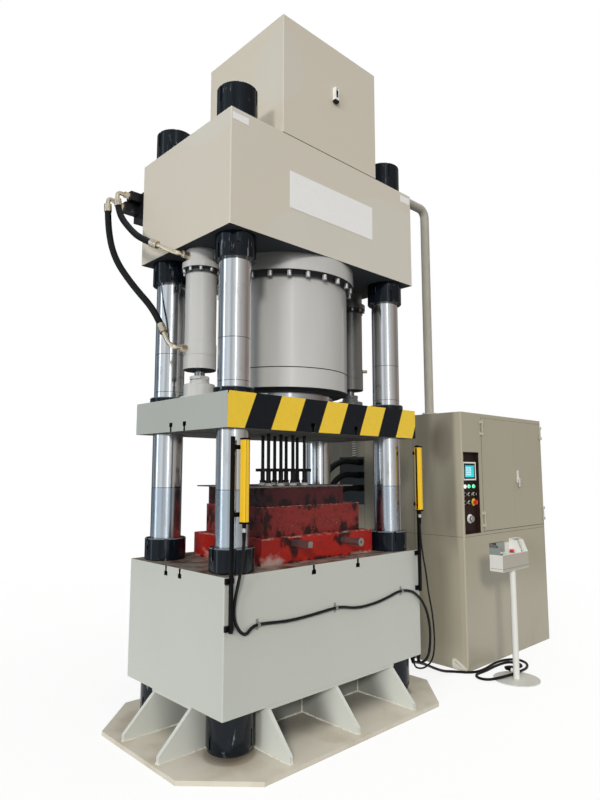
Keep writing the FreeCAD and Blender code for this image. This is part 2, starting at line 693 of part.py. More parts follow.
fittings = [
    fuse("short_elbow", [
        hex_nut("short_nut", (-935.0, y_up, 3450.0), (-968.0, y_up, 3450.0), 24.0),
        tube("short_elbow_pipe", [(-960.0, y_up, 3450.0), (-1020.0, y_up, 3450.0), short_head],
             pipe_r),
        rod("short_head_sleeve", short_head, short_first, sleeve_r)]),
    fuse("long_elbow", [
        hex_nut("long_nut", (-955.0, y_low, 3378.0), (-988.0, y_low, 3378.0), 24.0),
        tube("long_elbow_pipe", [(-980.0, y_low, 3378.0), (-1020.0, y_low, 3398.0),
                                 (-1062.0, y_low, 3408.0), long_head], pipe_r),
        rod("long_head_sleeve", long_head, long_first, sleeve_r)]),
    fuse("long_union", [
        rod("long_tail_sleeve", long_last, long_tail, sleeve_r),
        tube("long_tail_pipe", [long_tail, (-908.0, 50.0, 2340.0), (-896.0, 8.0, 2309.0),
                                (-830.0, 0.0, 2309.0)], pipe_r),
        hex_nut("long_union_nut", (-848.0, 0.0, 2309.0), (side_low, 0.0, 2309.0), 24.0)]),
    fuse("short_union", [
        rod("short_tail_sleeve", short_last, short_tail, sleeve_r),
        tube("short_tail_pipe", [short_tail, (-930.0, 60.0, 2932.0), (-890.0, 8.0, 2906.0),
                                 (-830.0, 0.0, 2905.0)], pipe_r),
        hex_nut("short_union_nut", (-848.0, 0.0, 2905.0), (side_top, 0.0, 2905.0), 24.0)]),
    rod("right_plug", (763.5, -84.3, 2330.0), (782.0, -110.9, 2330.0), 12.0)]
hoses = [
    tube("long_hose_tube", [long_first, along(long_head, long_first, 150), (-1045.0, 515.0, 2950.0),
         (-985.0, 360.0, 2745.0), along(long_tail, long_last, 130), long_last], hose_r),
    tube("short_hose_tube", [short_first, along(short_head, short_first, 70),
         (-1002.0, 400.0, 3140.0), along(short_tail, short_last, 100), short_last], hose_r)]

# supply hoses leave a port plate behind the opening in the cabinet's side and swing down to elbows
# on the back of the bed
port_face = float(S.cabinet_left) + float(S.sheet)
bed_back = float(S.bed_depth) / 2
supply_r = 27.0
supply_ways = [
    [(1425.0, 612.0, 1640.0), (1335.0, 617.0, 1649.0), (1242.0, 621.0, 1636.0),
      (1154.0, 625.0, 1597.0), (1080.0, 628.0, 1535.0), (1022.0, 630.0, 1458.0),
      (968.0, 630.0, 1351.0), (931.0, 628.0, 1237.0), (897.0, 625.0, 1110.0),
      (866.0, 620.0, 985.0), (820.0, 614.0, 893.0), (747.0, 606.0, 832.0)],
    [(1425.0, 612.0, 1520.0), (1345.0, 617.0, 1527.0), (1266.0, 621.0, 1513.0),
      (1196.0, 625.0, 1473.0), (1140.0, 628.0, 1413.0), (1092.0, 630.0, 1330.0),
      (1042.0, 630.0, 1225.0), (1003.0, 628.0, 1109.0), (967.0, 625.0, 979.0),
      (936.0, 620.0, 851.0), (890.0, 614.0, 756.0), (817.0, 606.0, 693.0)],
    [(1425.0, 612.0, 1400.0), (1348.0, 617.0, 1404.0), (1274.0, 621.0, 1386.0),
      (1213.0, 625.0, 1343.0), (1166.0, 628.0, 1282.0), (1134.0, 630.0, 1205.0),
      (1102.0, 630.0, 1095.0), (1070.0, 628.0, 975.0), (1037.0, 625.0, 848.0),
      (1006.0, 620.0, 717.0), (960.0, 614.0, 619.0), (887.0, 606.0, 554.0)]]
for i, way in enumerate(supply_ways):
    high, end_z, elbow_x = 1640.0 - 120 * i, 800.0 - 140 * i, 490.0 + 70 * i
    hoses.append(tube("supply_hose_%d" % i, [
        (port_face - 32, 612.0, high), *way, (elbow_x + 165, bed_back + 95, end_z),
        (elbow_x + 70, bed_back + 95, end_z)], supply_r))
    fittings.append(rod("supply_sleeve_%d" % i, (port_face, 612.0, high),
                        (port_face - 32, 612.0, high), supply_r + 3))
    fittings.append(fuse("supply_elbow_%d" % i, [
        hex_nut("supply_nut_%d" % i, (elbow_x, bed_back, end_z), (elbow_x, bed_back + 30, end_z),
                38.0),
        tube("supply_elbow_pipe_%d" % i, [
            (elbow_x, bed_back + 12, end_z), (elbow_x, bed_back + 95, end_z),
            (elbow_x + 62, bed_back + 95, end_z)], 20.0),
        rod("supply_end_%d" % i, (elbow_x + 36, bed_back + 95, end_z),
            (elbow_x + 70, bed_back + 95, end_z), supply_r + 3)]))
hose_gap_y, hose_gap_z = (558.0, 868.0), (1250.0, 1690.0)
fittings.append(block("port_plate", (port_face, port_face + 8),
                      (hose_gap_y[0] - 12, hose_gap_y[1] + 12),
                      (hose_gap_z[0] - 12, hose_gap_z[1] + 12)))
node(group("hose_set", hoses), "hydraulic_hoses")
node(group("fitting_set", fittings), "hose_fittings")

# ---------------------------------------------------------------- light curtains on their posts

post_x, post_y = 838.0, -S.bed_depth / 2 - 24
node(pair("post_pair", fuse("post_one", [
    block("post_bar", (-post_x - 9, -post_x + 9), (post_y - 9, post_y + 9), (712.0, 1742.0)),
    block("clamp_low", (-post_x - 27, -post_x + 27), (post_y + 9, post_y + 24), (718.0, 748.0)),
    block("clamp_high", (-post_x - 27, -post_x + 27), (post_y + 9, post_y + 24), (960.0, 990.0))])),
    "curtain_posts")
bar_x, bar_y = post_x - 48, post_y - 44
node(pair("curtain_pair", padded("curtain_case", [
    (-bar_x - 15, bar_y - 22), (-bar_x + 11, bar_y - 22), (-bar_x + 15, bar_y - 18),
    (-bar_x + 15, bar_y + 18), (-bar_x + 11, bar_y + 22), (-bar_x - 15, bar_y + 22)],
    1283.0, 1724.0)), "curtain_housings")
curtain_ends = [block("curtain_top_end", (-bar_x - 16, -bar_x + 16), (bar_y - 23, bar_y + 23),
                      (1724.0, 1733.0)),
                fuse("curtain_low_end", [
                    block("curtain_low_cap", (-bar_x - 16, -bar_x + 16), (bar_y - 23, bar_y + 23),
                          (1274.0, 1283.0)),
                    drum("plug_nut", -bar_x, bar_y, 1252.0, 11.0, 22.0),
                    drum("plug_shell", -bar_x, bar_y, 1212.0, 9.0, 40.0)])]
for i, low in enumerate((1310.0, 1672.0)):
    curtain_ends.append(fuse("curtain_arm_%d" % i, [
        block("arm_across_%d" % i, (-post_x + 9, -bar_x + 4), (post_y - 4, post_y + 4),
              (low, low + 24)),
        block("arm_back_%d" % i, (-bar_x - 4, -bar_x + 4), (bar_y + 22, post_y + 4),
              (low, low + 24))]))
node(pair("curtain_ends_pair", group("curtain_ends_one", curtain_ends)), "curtain_brackets")

# ---------------------------------------------------------------- cables on and under the bed

face_y = float(-S.bed_depth / 2)
cable_y, bar_yf = face_y - 12, float(bar_y)
under_bed = float(S.bed_bottom)
left_cable = tube("left_cable_tube", [
    (-bar_x, bar_yf, 1212.0), (-bar_x, bar_yf, 1140.0), (-797.0, bar_yf + 22, 1000.0),
    (-812.0, cable_y - 4, 860.0), (-806.0, cable_y, 752.0), (-735.0, cable_y, 672.0),
    (-680.0, cable_y, 722.0), (-600.0, cable_y, 722.0), (-430.0, cable_y, 705.0),
    (-240.0, cable_y, 708.0), (-70.0, cable_y, 719.0), (30.0, cable_y, 719.0),
    (160.0, cable_y, 690.0), (330.0, cable_y, 690.0), (490.0, cable_y, 712.0),
    (590.0, cable_y, 735.0), (690.0, cable_y, 735.0), (800.0, cable_y, 702.0),
    (905.0, cable_y - 6, 600.0), (944.0, cable_y - 16, 450.0), (928.0, cable_y - 22, 310.0),
    (908.0, cable_y - 8, 228.0), (846.0, -495.0, 204.0), (846.0, -495.0, under_bed - 14)], 9.0)
right_cable = tube("right_cable_tube", [
    (bar_x, bar_yf, 1212.0), (bar_x, bar_yf, 1130.0), (826.0, bar_yf + 8, 970.0),
    (878.0, bar_yf + 18, 830.0), (925.0, bar_yf + 36, 690.0), (958.0, bar_yf + 32, 560.0),
    (968.0, bar_yf + 26, 440.0), (955.0, bar_yf + 14, 315.0), (930.0, bar_yf + 18, 225.0),
    (880.0, -530.0, 180.0), (830.0, -502.0, 178.0), (800.0, -487.0, 205.0),
    (800.0, -487.0, under_bed - 14)], 6.0)
node(group("curtain_cable_set", [left_cable, right_cable]), "curtain_cables")
glands = [rod("gland_%d" % i, (x, y, under_bed - 14), (x, y, under_bed), radius)
          for i, (x, y, radius) in enumerate([(846.0, -495.0, 13.0), (800.0, -487.0, 9.0),
                                              (846.0, -440.0, 13.0)])]
clips = [block("clip_%d" % i, (x - 14, x + 14), (cable_y - 11.5, -S.bed_depth / 2),
               (z + 9.1, z + 16)) for i, (x, z) in enumerate(
         [(-640.0, 722.0), (-20.0, 719.0), (640.0, 735.0)])]
node(group("clip_set", clips + glands), "cable_fittings")
post_back = float(S.desk_y) + float(S.desk_post)
node(tube("desk_cable_tube", [
    (846.0, -440.0, under_bed - 14), (846.0, -440.0, 200.0), (926.0, -405.0, 184.0),
    (1070.0, -385.0, 135.0), (1225.0, -380.0, 65.0), (1335.0, -380.0, 24.0), (1410.0, -400.0, 12.0),
    (1505.0, -535.0, 11.0), (1660.0, -548.0, 11.0), (1830.0, -518.0, 11.5), (1980.0, -530.0, 11.0),
    (2075.0, -600.0, 11.5), (2035.0, -702.0, 11.0), (1915.0, -762.0, 12.0), (1780.0, -778.0, 21.0),
    (1640.0, -765.0, 21.0), (1520.0, -745.0, 21.5), (1436.0, -698.0, 13.0), (1418.0, -622.0, 11.0),
    (1474.0, -562.0, 11.5), (1620.0, -573.0, 11.0), (1770.0, -562.0, 11.5), (1940.0, -572.0, 11.0),
    (1981.0, -642.0, 11.5), (1940.0, -712.0, 11.0), (1850.0, -712.0, 16.0), (1750.0, -708.0, 45.0),
    (1634.0, -708.0, 62.0), (1634.0, post_back + 20, 62.0)], 10.0), "desk_cable")

# ---------------------------------------------------------------- conduit from tank to cabinet

# two straight pipes welded to a quarter bend
pipe_y, pipe_z, pipe_x = -120.0, crown_top + 236, 1600.0
conduit_r, bend_r = 38.0, 76.5
bend_x, bend_z = pipe_x - bend_r, pipe_z - bend_r
run_start, drop_foot = S.tank_length / 2 + 14, S.cabinet_high + 12
run = drum("conduit_run", run_start, pipe_y, pipe_z, conduit_r, bend_x - run_start, "x")
drop = drum("conduit_drop", pipe_x, pipe_y, drop_foot, conduit_r, bend_z - drop_foot)
bend = doc.addObject("Part::Torus", "conduit_bend")
bend.Radius1, bend.Radius2, bend.Angle3 = bend_r, conduit_r, 90
place(bend, bend_x, pipe_y, bend_z, ((1, 0, 0), 90))
foot = drum("conduit_foot", pipe_x, pipe_y, S.cabinet_high, 62.0, 12.0)
wall = drum("conduit_wall", S.tank_length / 2, pipe_y, pipe_z, 62.0, 14.0, "x")
foot_screws = [drum("foot_screw_%d" % i, pipe_x + 50 * math.cos(math.radians(45 + 90 * i)),
                    pipe_y + 50 * math.sin(math.radians(45 + 90 * i)), S.cabinet_high + 12,
                    7.0, 8.0) for i in range(4)]
node(group("conduit_set", [run, bend, drop, foot, wall] + foot_screws), "conduit")

# ---------------------------------------------------------------- cabinet

left, front, sheet_t = S.cabinet_left, S.cabinet_front, S.sheet
right, back = left + S.cabinet_length, front + S.cabinet_depth
cabinet_x, cabinet_y = (left, right), (front, front + S.cabinet_depth)
inside = rectangle((left + sheet_t, right - sheet_t), (front + sheet_t, back - sheet_t))
lower = padded("cabinet_low", rectangle(cabinet_x, cabinet_y), 0.0, S.cabinet_split)
softened(lower, "cabinet_low_soft", S.cabinet_soft)
pocket(lower, "cabinet_low_room", "XY_Plane", inside, S.cabinet_split, S.cabinet_split - sheet_t)
bracket = doc.addObject("PartDesign::Body", "foot_bracket")
bracket_side = sketch_on(bracket, "foot_bracket_side", "YZ_Plane", left - 8)
loop(bracket_side, [(front + 8, 0.0), (front + 128, 0.0), (front + 140, 30.0), (front + 140, 66.0),
                    (front + 128, 80.0), (front + 108, 80.0), (front + 20, 30.0), (front + 8, 18.0)])
loop(bracket_side, [(front + 50, 22.0), (front + 62, 22.0), (front + 120, 56.0),
                    (front + 116, 64.0)])
bracket_pad = bracket.newObject("PartDesign::Pad", "foot_bracket_pad")
bracket_pad.Profile = bracket_side
bind(bracket_pad, "Length", 8.0)
node(fuse("cabinet_low_parts", [lower, bracket]), "cabinet_base")

upper = padded("cabinet_up", rectangle(cabinet_x, cabinet_y), S.cabinet_split, S.cabinet_high)
softened(upper, "cabinet_up_soft", S.cabinet_soft)
pocket(upper, "cabinet_up_room", "XY_Plane", inside, S.cabinet_split,
       S.cabinet_high - S.cabinet_split - sheet_t, True)
roof = S.cabinet_high - sheet_t
pocket(upper, "cabinet_front_gap", "XZ_Plane", rectangle(
    (S.recess_left, S.door_right_edge), (S.cabinet_split - 1, roof)), 1 - front, sheet_t + 2)
pocket(upper, "cabinet_hose_gap", "YZ_Plane", rectangle(hose_gap_y, hose_gap_z),
       left + sheet_t + 1, sheet_t + 2)
rails = [block("front_" + name, xs, (front, front + sheet_t), zs) for name, xs, zs in (
    ("panel_sill", (S.recess_left, S.recess_right), (S.cabinet_split, S.recess_low)),
    ("panel_head", (S.recess_left, S.recess_right), (S.recess_top, roof)),
    ("stile", (S.recess_right, S.door_left_edge), (S.cabinet_split, roof)),
    ("door_sill", (S.door_left_edge, S.door_right_edge), (S.cabinet_split, S.door_low)),
    ("door_head", (S.door_left_edge, S.door_right_edge), (S.door_top, roof)))]
node(group("cabinet_up_set", [upper] + rails), "cabinet_shell")

tray_y = front + S.recess_deep
recess = rectangle((S.recess_left, S.recess_right), (S.recess_low, S.recess_top))
tray = padded_back("tray", recess, front + sheet_t, tray_y + 3)
pocket(tray, "tray_room", "XZ_Plane", rectangle(
    (S.recess_left + 3, S.recess_right - 3), (S.recess_low + 3, S.recess_top - 3)),
    1 - front - sheet_t, S.recess_deep - sheet_t + 1)
key_x = [S.key_left + i * S.key_pitch for i in range(3)]
key_spots = [(key_x[1], 1431.0), (key_x[2], 1431.0), (key_x[0], 1367.0), (key_x[1], 1367.0),
             (key_x[2], 1367.0), (key_x[0], 1301.0), (key_x[1], 1301.0), (key_x[2], 1301.0)]
stem = 9.0
drilled(tray, "tray_stem_holes", "XZ_Plane", key_spots, stem, 1 - tray_y, 5.0)
node(tray, "control_panel")
screen_x, screen_z = 1652.0, 1556.0
screen_frame = padded_back("screen_case", rectangle(
    (screen_x - 97, screen_x + 97), (screen_z - 75, screen_z + 75)), tray_y - 16, tray_y)
pocket(screen_frame, "screen_room", "XZ_Plane", rectangle(
    (screen_x - 84, screen_x + 84), (screen_z - 62, screen_z + 62)), 17 - tray_y, 5.0)
node(screen_frame, "screen_frame")
node(block("screen_glass", (screen_x - 83.7, screen_x + 83.7), (tray_y - 15, tray_y - 12),
           (screen_z - 61.7, screen_z + 61.7)), "operator_screen")


def bezel(name, x, y, z, outer, inner, deep):
    """A ring round a key, standing on a face that looks forward."""
    return cut(name, drum(name + "_out", x, y - deep, z, outer, deep, "y"),
               drum(name + "_in", x, y - deep - 1, z, inner, deep + 2, "y"))


bezels = [bezel("bezel_%d" % i, x, tray_y, z, 15.0, 10.6, 7.0)
          for i, (x, z) in enumerate(key_spots[:7])]
stop_ring = bezel("stop_ring", key_spots[7][0], tray_y, key_spots[7][1], 30.0, 10.6, 3.0)
lamp = drum("lamp_dome", key_x[0], tray_y - 16, 1431.0, 14.0, 16.0, "y")
port = fuse("port_parts", [drum("port_ring", 1652.0, tray_y - 10, 1169.0, 36.0, 10.0, "y"),
                           drum("port_hub", 1652.0, tray_y - 30, 1169.0, 24.0, 20.0, "y")])
node(group("panel_set", bezels + [stop_ring, lamp, port]), "panel_fittings")


def push_key(name, x, y, z, cap_radius, out, label):
    """A push key: a stem through the panel and a round cap in front."""
    return node(fuse(name, [drum(name + "_stem", x, y - out, z, stem - 0.3, out + 14, "y"),
                            drum(name + "_cap", x, y - out, z, cap_radius, 8.0, "y")]), label)


push_key("green_key_a", key_spots[0][0], tray_y, key_spots[0][1], 10.0, 15.0, "start_button")
push_key("green_key_b", key_spots[1][0], tray_y, key_spots[1][1], 10.0, 15.0, "run_button")
for i, label in enumerate(["mode_switch", "pump_switch", "light_switch", "ejector_switch",
                           "key_switch"]):
    x, z = key_spots[2 + i]
    node(fuse("switch_%d" % i, [
        drum("switch_stem_%d" % i, x, tray_y - 12, z, stem - 0.3, 26.0, "y"),
        drum("switch_cap_%d" % i, x, tray_y - 12, z, 10.0, 5.0, "y"),
        block("switch_grip_%d" % i, (x - 3.5, x + 3.5), (tray_y - 26, tray_y - 11),
              (z - 9.2, z + 9.2))]), label)
x, z = key_spots[7]
node(fuse("stop_parts", [drum("stop_stem", x, tray_y - 18, z, stem - 0.3, 32.0, "y"),
                         drum("stop_head", x, tray_y - 30, z, 20.0, 14.0, "y")]), "stop_button")

# doors with hinge knuckles between fixed ones, and what stands behind them
door_mid = (S.door_left_edge + S.door_right_edge) / 2
hinge_y = front - 10
door_gap = 2.0
hinge_levels = (1122.0, 1883.0)
fixed = []


def door_leaf(name, xs, hinge_x):
    """A folded door leaf with two hinge knuckles in front of its outer edge."""
    zs = (S.door_low + door_gap, S.door_top - door_gap)
    leaf = padded_back(name + "_leaf", rectangle(xs, zs), front - 1, front + 21)
    sketch = sketch_on(leaf, name + "_inside", "XZ_Plane", -front - 21)
    loop(sketch, rectangle((xs[0] + 3, xs[1] - 3), (zs[0] + 3, zs[1] - 3)))
    hollow = leaf.newObject("PartDesign::Pocket", name + "_hollow")
    hollow.Profile, hollow.Reversed = sketch, True
    bind(hollow, "Length", 19.0)
    knuckles = []
    for i, z in enumerate(hinge_levels):
        knuckles += [drum("%s_knuckle_%d" % (name, i), hinge_x, hinge_y, z, 7.0, 74.0),
                     block("%s_tongue_%d" % (name, i), (hinge_x - 4, hinge_x + 4),
                           (hinge_y, front), (z, z + 74))]
    return leaf, knuckles


def fixed_knuckles(name, hinge_x, side):
    """The fixed hinge halves: knuckles above and below the door's, on a foot beside the doorway."""
    out = min(side * 31, side * 11), max(side * 31, side * 11)
    for i, z in enumerate(hinge_levels):
        for j, low in enumerate((z - 24.5, z + 74.5)):
            tag = "%s_fixed_%d_%d" % (name, i, j)
            fixed.append(fuse(tag, [
                drum(tag + "_knuckle", hinge_x, hinge_y, low, 7.0, 24.0),
                block(tag + "_arm", (hinge_x + min(side * 31, 0), hinge_x + max(side * 31, 0)),
                      (hinge_y - 3, hinge_y + 2), (low, low + 24)),
                block(tag + "_foot", (hinge_x + out[0], hinge_x + out[1]), (hinge_y - 3, front),
                      (low, low + 24))]))


leaf, knuckles = door_leaf("left_door", (S.door_left_edge + door_gap, door_mid - 1),
                           S.door_left_edge + 9)
node(fuse("left_door_parts", [leaf] + knuckles), "cabinet_door_left")
leaf, knuckles = door_leaf("right_door", (door_mid + 1, S.door_right_edge - door_gap),
                           S.door_right_edge - 9)
fixed_knuckles("left", S.door_left_edge + 9, -1)
fixed_knuckles("right", S.door_right_edge - 9, 1)
node(group("fixed_hinge_set", fixed), "cabinet_hinges")
handle_x, handle_z = door_mid + 54, 1480.0
lock = block("lock_plate", (handle_x - 15, handle_x + 15), (front - 13, front),
             (handle_z - 25, handle_z + 82))
spindle_hole = drum("spindle_hole", handle_x, front - 14, handle_z, 8.3, 24.0, "y")
node(cut("right_door_drilled", fuse("right_door_parts", [leaf, lock] + knuckles), spindle_hole),
     "cabinet_door_right")
grip = padded_back("handle_grip", [
    (handle_x - 7, handle_z - 62), (handle_x + 7, handle_z - 62), (handle_x + 10, handle_z - 54),
    (handle_x + 10, handle_z + 4), (handle_x - 10, handle_z + 4), (handle_x - 10, handle_z - 54)],
    front - 34, front - 22)
node(fuse("handle_parts", [
    drum("handle_spindle", handle_x, front - 26, handle_z, 8.0, 34.0, "y"),
    drum("handle_hub", handle_x, front - 30, handle_z, 15.0, 16.0, "y"), grip]), "door_handle")
plate_y = front + 330
gear = [block("gear_plate", (S.door_left_edge + 40, S.door_right_edge - 40),
              (plate_y, plate_y + 4), (1095.0, 1960.0))]
for i, (x, z, wide, high, deep) in enumerate([
        (1890.0, 1600.0, 260.0, 330.0, 180.0), (2200.0, 1620.0, 180.0, 300.0, 150.0),
        (2430.0, 1640.0, 400.0, 110.0, 90.0), (2430.0, 1800.0, 400.0, 90.0, 80.0),
        (1890.0, 1350.0, 940.0, 95.0, 75.0), (1890.0, 1150.0, 940.0, 60.0, 55.0)]):
    gear.append(block("gear_%d" % i, (x, x + wide), (plate_y - deep, plate_y), (z, z + high)))
for i, x in enumerate((S.door_left_edge + 60, S.door_right_edge - 90)):
    gear.append(block("gear_leg_%d" % i, (x, x + 30), (plate_y + 4, plate_y + 34),
                      (sheet_t, 1960.0)))
node(fuse("gear_parts", gear), "electrical_panel")

# ---------------------------------------------------------------- two-hand desk

desk_x, desk_y = S.desk_x, S.desk_y
desk_top = S.desk_low + S.desk_high
desk_xs = (desk_x - S.desk_length / 2, desk_x + S.desk_length / 2)
desk_ys = (desk_y - 34, desk_y - 34 + S.desk_depth)
node(fuse("desk_stand_parts", [
    drum("desk_disc", desk_x, desk_y, 0.0, S.desk_disc, 8.0),
    drum("desk_tube", desk_x, desk_y, 8.0, S.desk_post, S.desk_low - 12),
    drum("desk_post_gland", desk_x, desk_y, 62.0, 13.0, S.desk_post + 20, "y"),
    block("desk_shelf", (desk_xs[0] + 4, desk_xs[1] - 4), (desk_ys[0] + 1, desk_ys[1] - 1),
          (S.desk_low - 4, S.desk_low))]), "desk_stand")
palm_spots = [(desk_xs[0] + 52, desk_y + 20), (desk_xs[1] - 52, desk_y + 20)]
stop_spot = (desk_x + 42, desk_y + 20)
desk_shell = padded("desk_case", rectangle(desk_xs, desk_ys), S.desk_low, desk_top)
pocket(desk_shell, "desk_room", "XY_Plane", rectangle(
    (desk_xs[0] + 3, desk_xs[1] - 3), (desk_ys[0] + 3, desk_ys[1] - 3)), S.desk_low,
    S.desk_high - 3, True)
drilled(desk_shell, "desk_holes", "XY_Plane", palm_spots + [stop_spot], 12.3, desk_top + 1, 5.0)
hood_x = desk_xs[1] - 104


def wing(name, x, high):
    """A side guard that rises from the front edge of the desk to the back."""
    body = doc.addObject("PartDesign::Body", name)
    sketch = sketch_on(body, name + "_side", "YZ_Plane", x)
    loop(sketch, [(desk_ys[0] + 4, desk_top - 1), (desk_ys[1], desk_top - 1),
                  (desk_ys[1], desk_top + high), (desk_ys[0] + 40, desk_top + high - 12)])
    pad = body.newObject("PartDesign::Pad", name + "_pad")
    pad.Profile = sketch
    pad.Length = 2
    return body


back_wall = padded_back("guard_back", [
    (desk_xs[0], desk_top - 1), (desk_xs[1], desk_top - 1), (desk_xs[1], desk_top + 100),
    (hood_x, desk_top + 100), (hood_x, desk_top + 70), (desk_x + 22, desk_top + 70),
    (desk_x + 10, desk_top + 82), (desk_xs[0], desk_top + 82)], desk_ys[1] - 2, desk_ys[1])
roof = block("guard_roof", (hood_x, desk_xs[1]), (desk_ys[0] + 56, desk_ys[1]),
             (desk_top + 98, desk_top + 100))
node(fuse("desk_box_parts", [
    desk_shell, wing("wing_left", desk_xs[0], 82.0), wing("wing_mid", hood_x, 100.0),
    wing("wing_right", desk_xs[1] - 2, 100.0), back_wall, roof]), "desk_box")
for i, label in enumerate(["palm_button_left", "palm_button_right"]):
    x, y = palm_spots[i]
    node(fuse("palm_%d" % i, [drum("palm_stem_%d" % i, x, y, desk_top - 20, 12.0, 30.0),
                              drum("palm_head_%d" % i, x, y, desk_top + 9, 22.0, 12.0)]), label)
x, y = stop_spot
node(fuse("desk_stop_parts", [drum("desk_stop_stem", x, y, desk_top - 20, 12.0, 28.0),
                              drum("desk_stop_head", x, y, desk_top + 8, 17.0, 16.0)]),
     "desk_stop_button")

# ---------------------------------------------------------------- checks and files

doc.recompute()
faults = [o.Name for o in doc.Objects if "Invalid" in o.State or "Error" in o.State]
faults += [o.Label for o in NODES if o.Shape.isNull() or not o.Shape.isValid()]
if faults:
    raise RuntimeError("not built: " + ", ".join(faults))
os.makedirs("parts", exist_ok=True)
for item in NODES:
    item.Shape.exportStep("parts/%s.step" % item.Label)
print("%d pieces, %d solids" % (len(NODES), sum(len(i.Shape.Solids) for i in NODES)))
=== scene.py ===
"""Looks of a four-column hydraulic press with its tank, power cabinet, two-hand desk and die.

Lengths are metres. +X runs right along the front, +Y to the back and +Z up, with the origin on the
floor under the middle of the four columns.
"""

from __future__ import annotations

import logging
import math
import random
from dataclasses import dataclass
from enum import Enum
from typing import Any, Mapping, Sequence

import bmesh
import bpy
from mathutils import Matrix, Vector


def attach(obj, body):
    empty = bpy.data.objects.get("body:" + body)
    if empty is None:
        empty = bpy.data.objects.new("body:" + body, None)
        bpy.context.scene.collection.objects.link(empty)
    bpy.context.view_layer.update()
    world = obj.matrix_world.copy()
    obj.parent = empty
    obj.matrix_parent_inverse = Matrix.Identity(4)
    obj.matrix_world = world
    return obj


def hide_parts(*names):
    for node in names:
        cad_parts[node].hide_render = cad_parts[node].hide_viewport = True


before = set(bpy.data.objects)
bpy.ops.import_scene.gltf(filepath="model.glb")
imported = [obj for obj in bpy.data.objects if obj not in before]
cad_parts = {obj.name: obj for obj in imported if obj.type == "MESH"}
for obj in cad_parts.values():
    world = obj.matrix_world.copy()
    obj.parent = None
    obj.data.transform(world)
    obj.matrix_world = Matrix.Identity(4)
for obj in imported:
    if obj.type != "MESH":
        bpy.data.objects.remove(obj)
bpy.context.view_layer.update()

log = logging.getLogger("press")
Colour = tuple[float, float, float]
Point = tuple[float, float, float]
Flat = tuple[float, float]
MM = 0.001
SHARP_TURN = math.radians(35.0)
COLUMN_AT: Flat = (0.705, 0.355)
SLOT_AT: Flat = (0.200, 0.075)
SLOT_HALF = 0.0188
SCREEN_AT: Flat = (1.652, 1.556)
KEY_X: Point = (1.580, 1.652, 1.724)
KEY_Z: Point = (1.431, 1.367, 1.301)
DARK: Colour = (0.0, 0.0, 0.0)
EVEN: Point = (1.0, 1.0, 1.0)


class Axis(Enum):
    """A direction that a turned or drawn-out shape runs along, as the turn of +Z to it."""

    X = Matrix.Rotation(math.radians(90), 4, "Y")
    Y = Matrix.Rotation(math.radians(-90), 4, "X")
    Z = Matrix.Identity(4)


class Body(Enum):
    """The bodies that new pieces ride on."""

    PRESS = "press"
    DOOR_RIGHT = "door_right"
    MODE_KNOB = "mode_knob"
    PUMP_KNOB = "pump_knob"
    LIGHT_KNOB = "light_knob"
    EJECTOR_KNOB = "ejector_knob"
    KEY_KNOB = "key_knob"
    PALM_LEFT = "palm_left"
    PALM_RIGHT = "palm_right"
    DESK_STOP = "desk_stop"


# ---------------------------------------------------------------------------------------- shaders


class Value:
    """A shader socket that takes part in Python sums."""

    def __init__(self, nodes: Nodes, socket: bpy.types.NodeSocket) -> None:
        """Wraps an output of a tree."""
        self.nodes, self.socket = nodes, socket

    def math(self, operation: str, *others: Value | float) -> Value:
        """Adds one Math node on this value and the others, and returns its result."""
        inputs = dict(enumerate((self, *others)))
        return self.nodes.take("ShaderNodeMath", {"operation": operation}, inputs)

    def __add__(self, other: Value | float) -> Value:
        """The sum."""
        return self.math("ADD", other)

    __radd__ = __add__

    def __sub__(self, other: Value | float) -> Value:
        """The difference."""
        return self.math("SUBTRACT", other)

    def __rsub__(self, other: float) -> Value:
        """A number less this value."""
        return -self + other

    def __mul__(self, other: Value | float) -> Value:
        """The product."""
        return self.math("MULTIPLY", other)

    __rmul__ = __mul__

    def __neg__(self) -> Value:
        """The value with its sign turned."""
        return self * -1.0

    def __abs__(self) -> Value:
        """The value without its sign."""
        return self.math("ABSOLUTE")

    def __truediv__(self, other: Value | float) -> Value:
        """The quotient."""
        return self.math("DIVIDE", other)

    def ramp(self, low: float, high: float) -> Value:
        """A soft step from 0 at low to 1 at high, or falling where low is the larger."""
        return self.nodes.take(
            "ShaderNodeMapRange", {"interpolation_type": "SMOOTHSTEP", "clamp": True},
            {0: self, 1: low, 2: high, 3: 0.0, 4: 1.0})

    def above(self, edge: float) -> Value:
        """1 where the value is over the edge, and 0 elsewhere."""
        return self.math("GREATER_THAN", edge)

    def below(self, edge: float) -> Value:
        """1 up to the edge, and 0 over it."""
        return 1.0 - self.above(edge)

    def fraction(self) -> Value:
        """What is over the last whole number."""
        return self - self.math("FLOOR")

    def far(self, other: Value) -> Value:
        """The longest side of the right triangle whose other sides are this and another value."""
        return (self * self + other * other).math("SQRT")

    def either(self, other: Value | float) -> Value:
        """The larger of two masks."""
        return self.math("MAXIMUM", other)


Input = Value | float | tuple


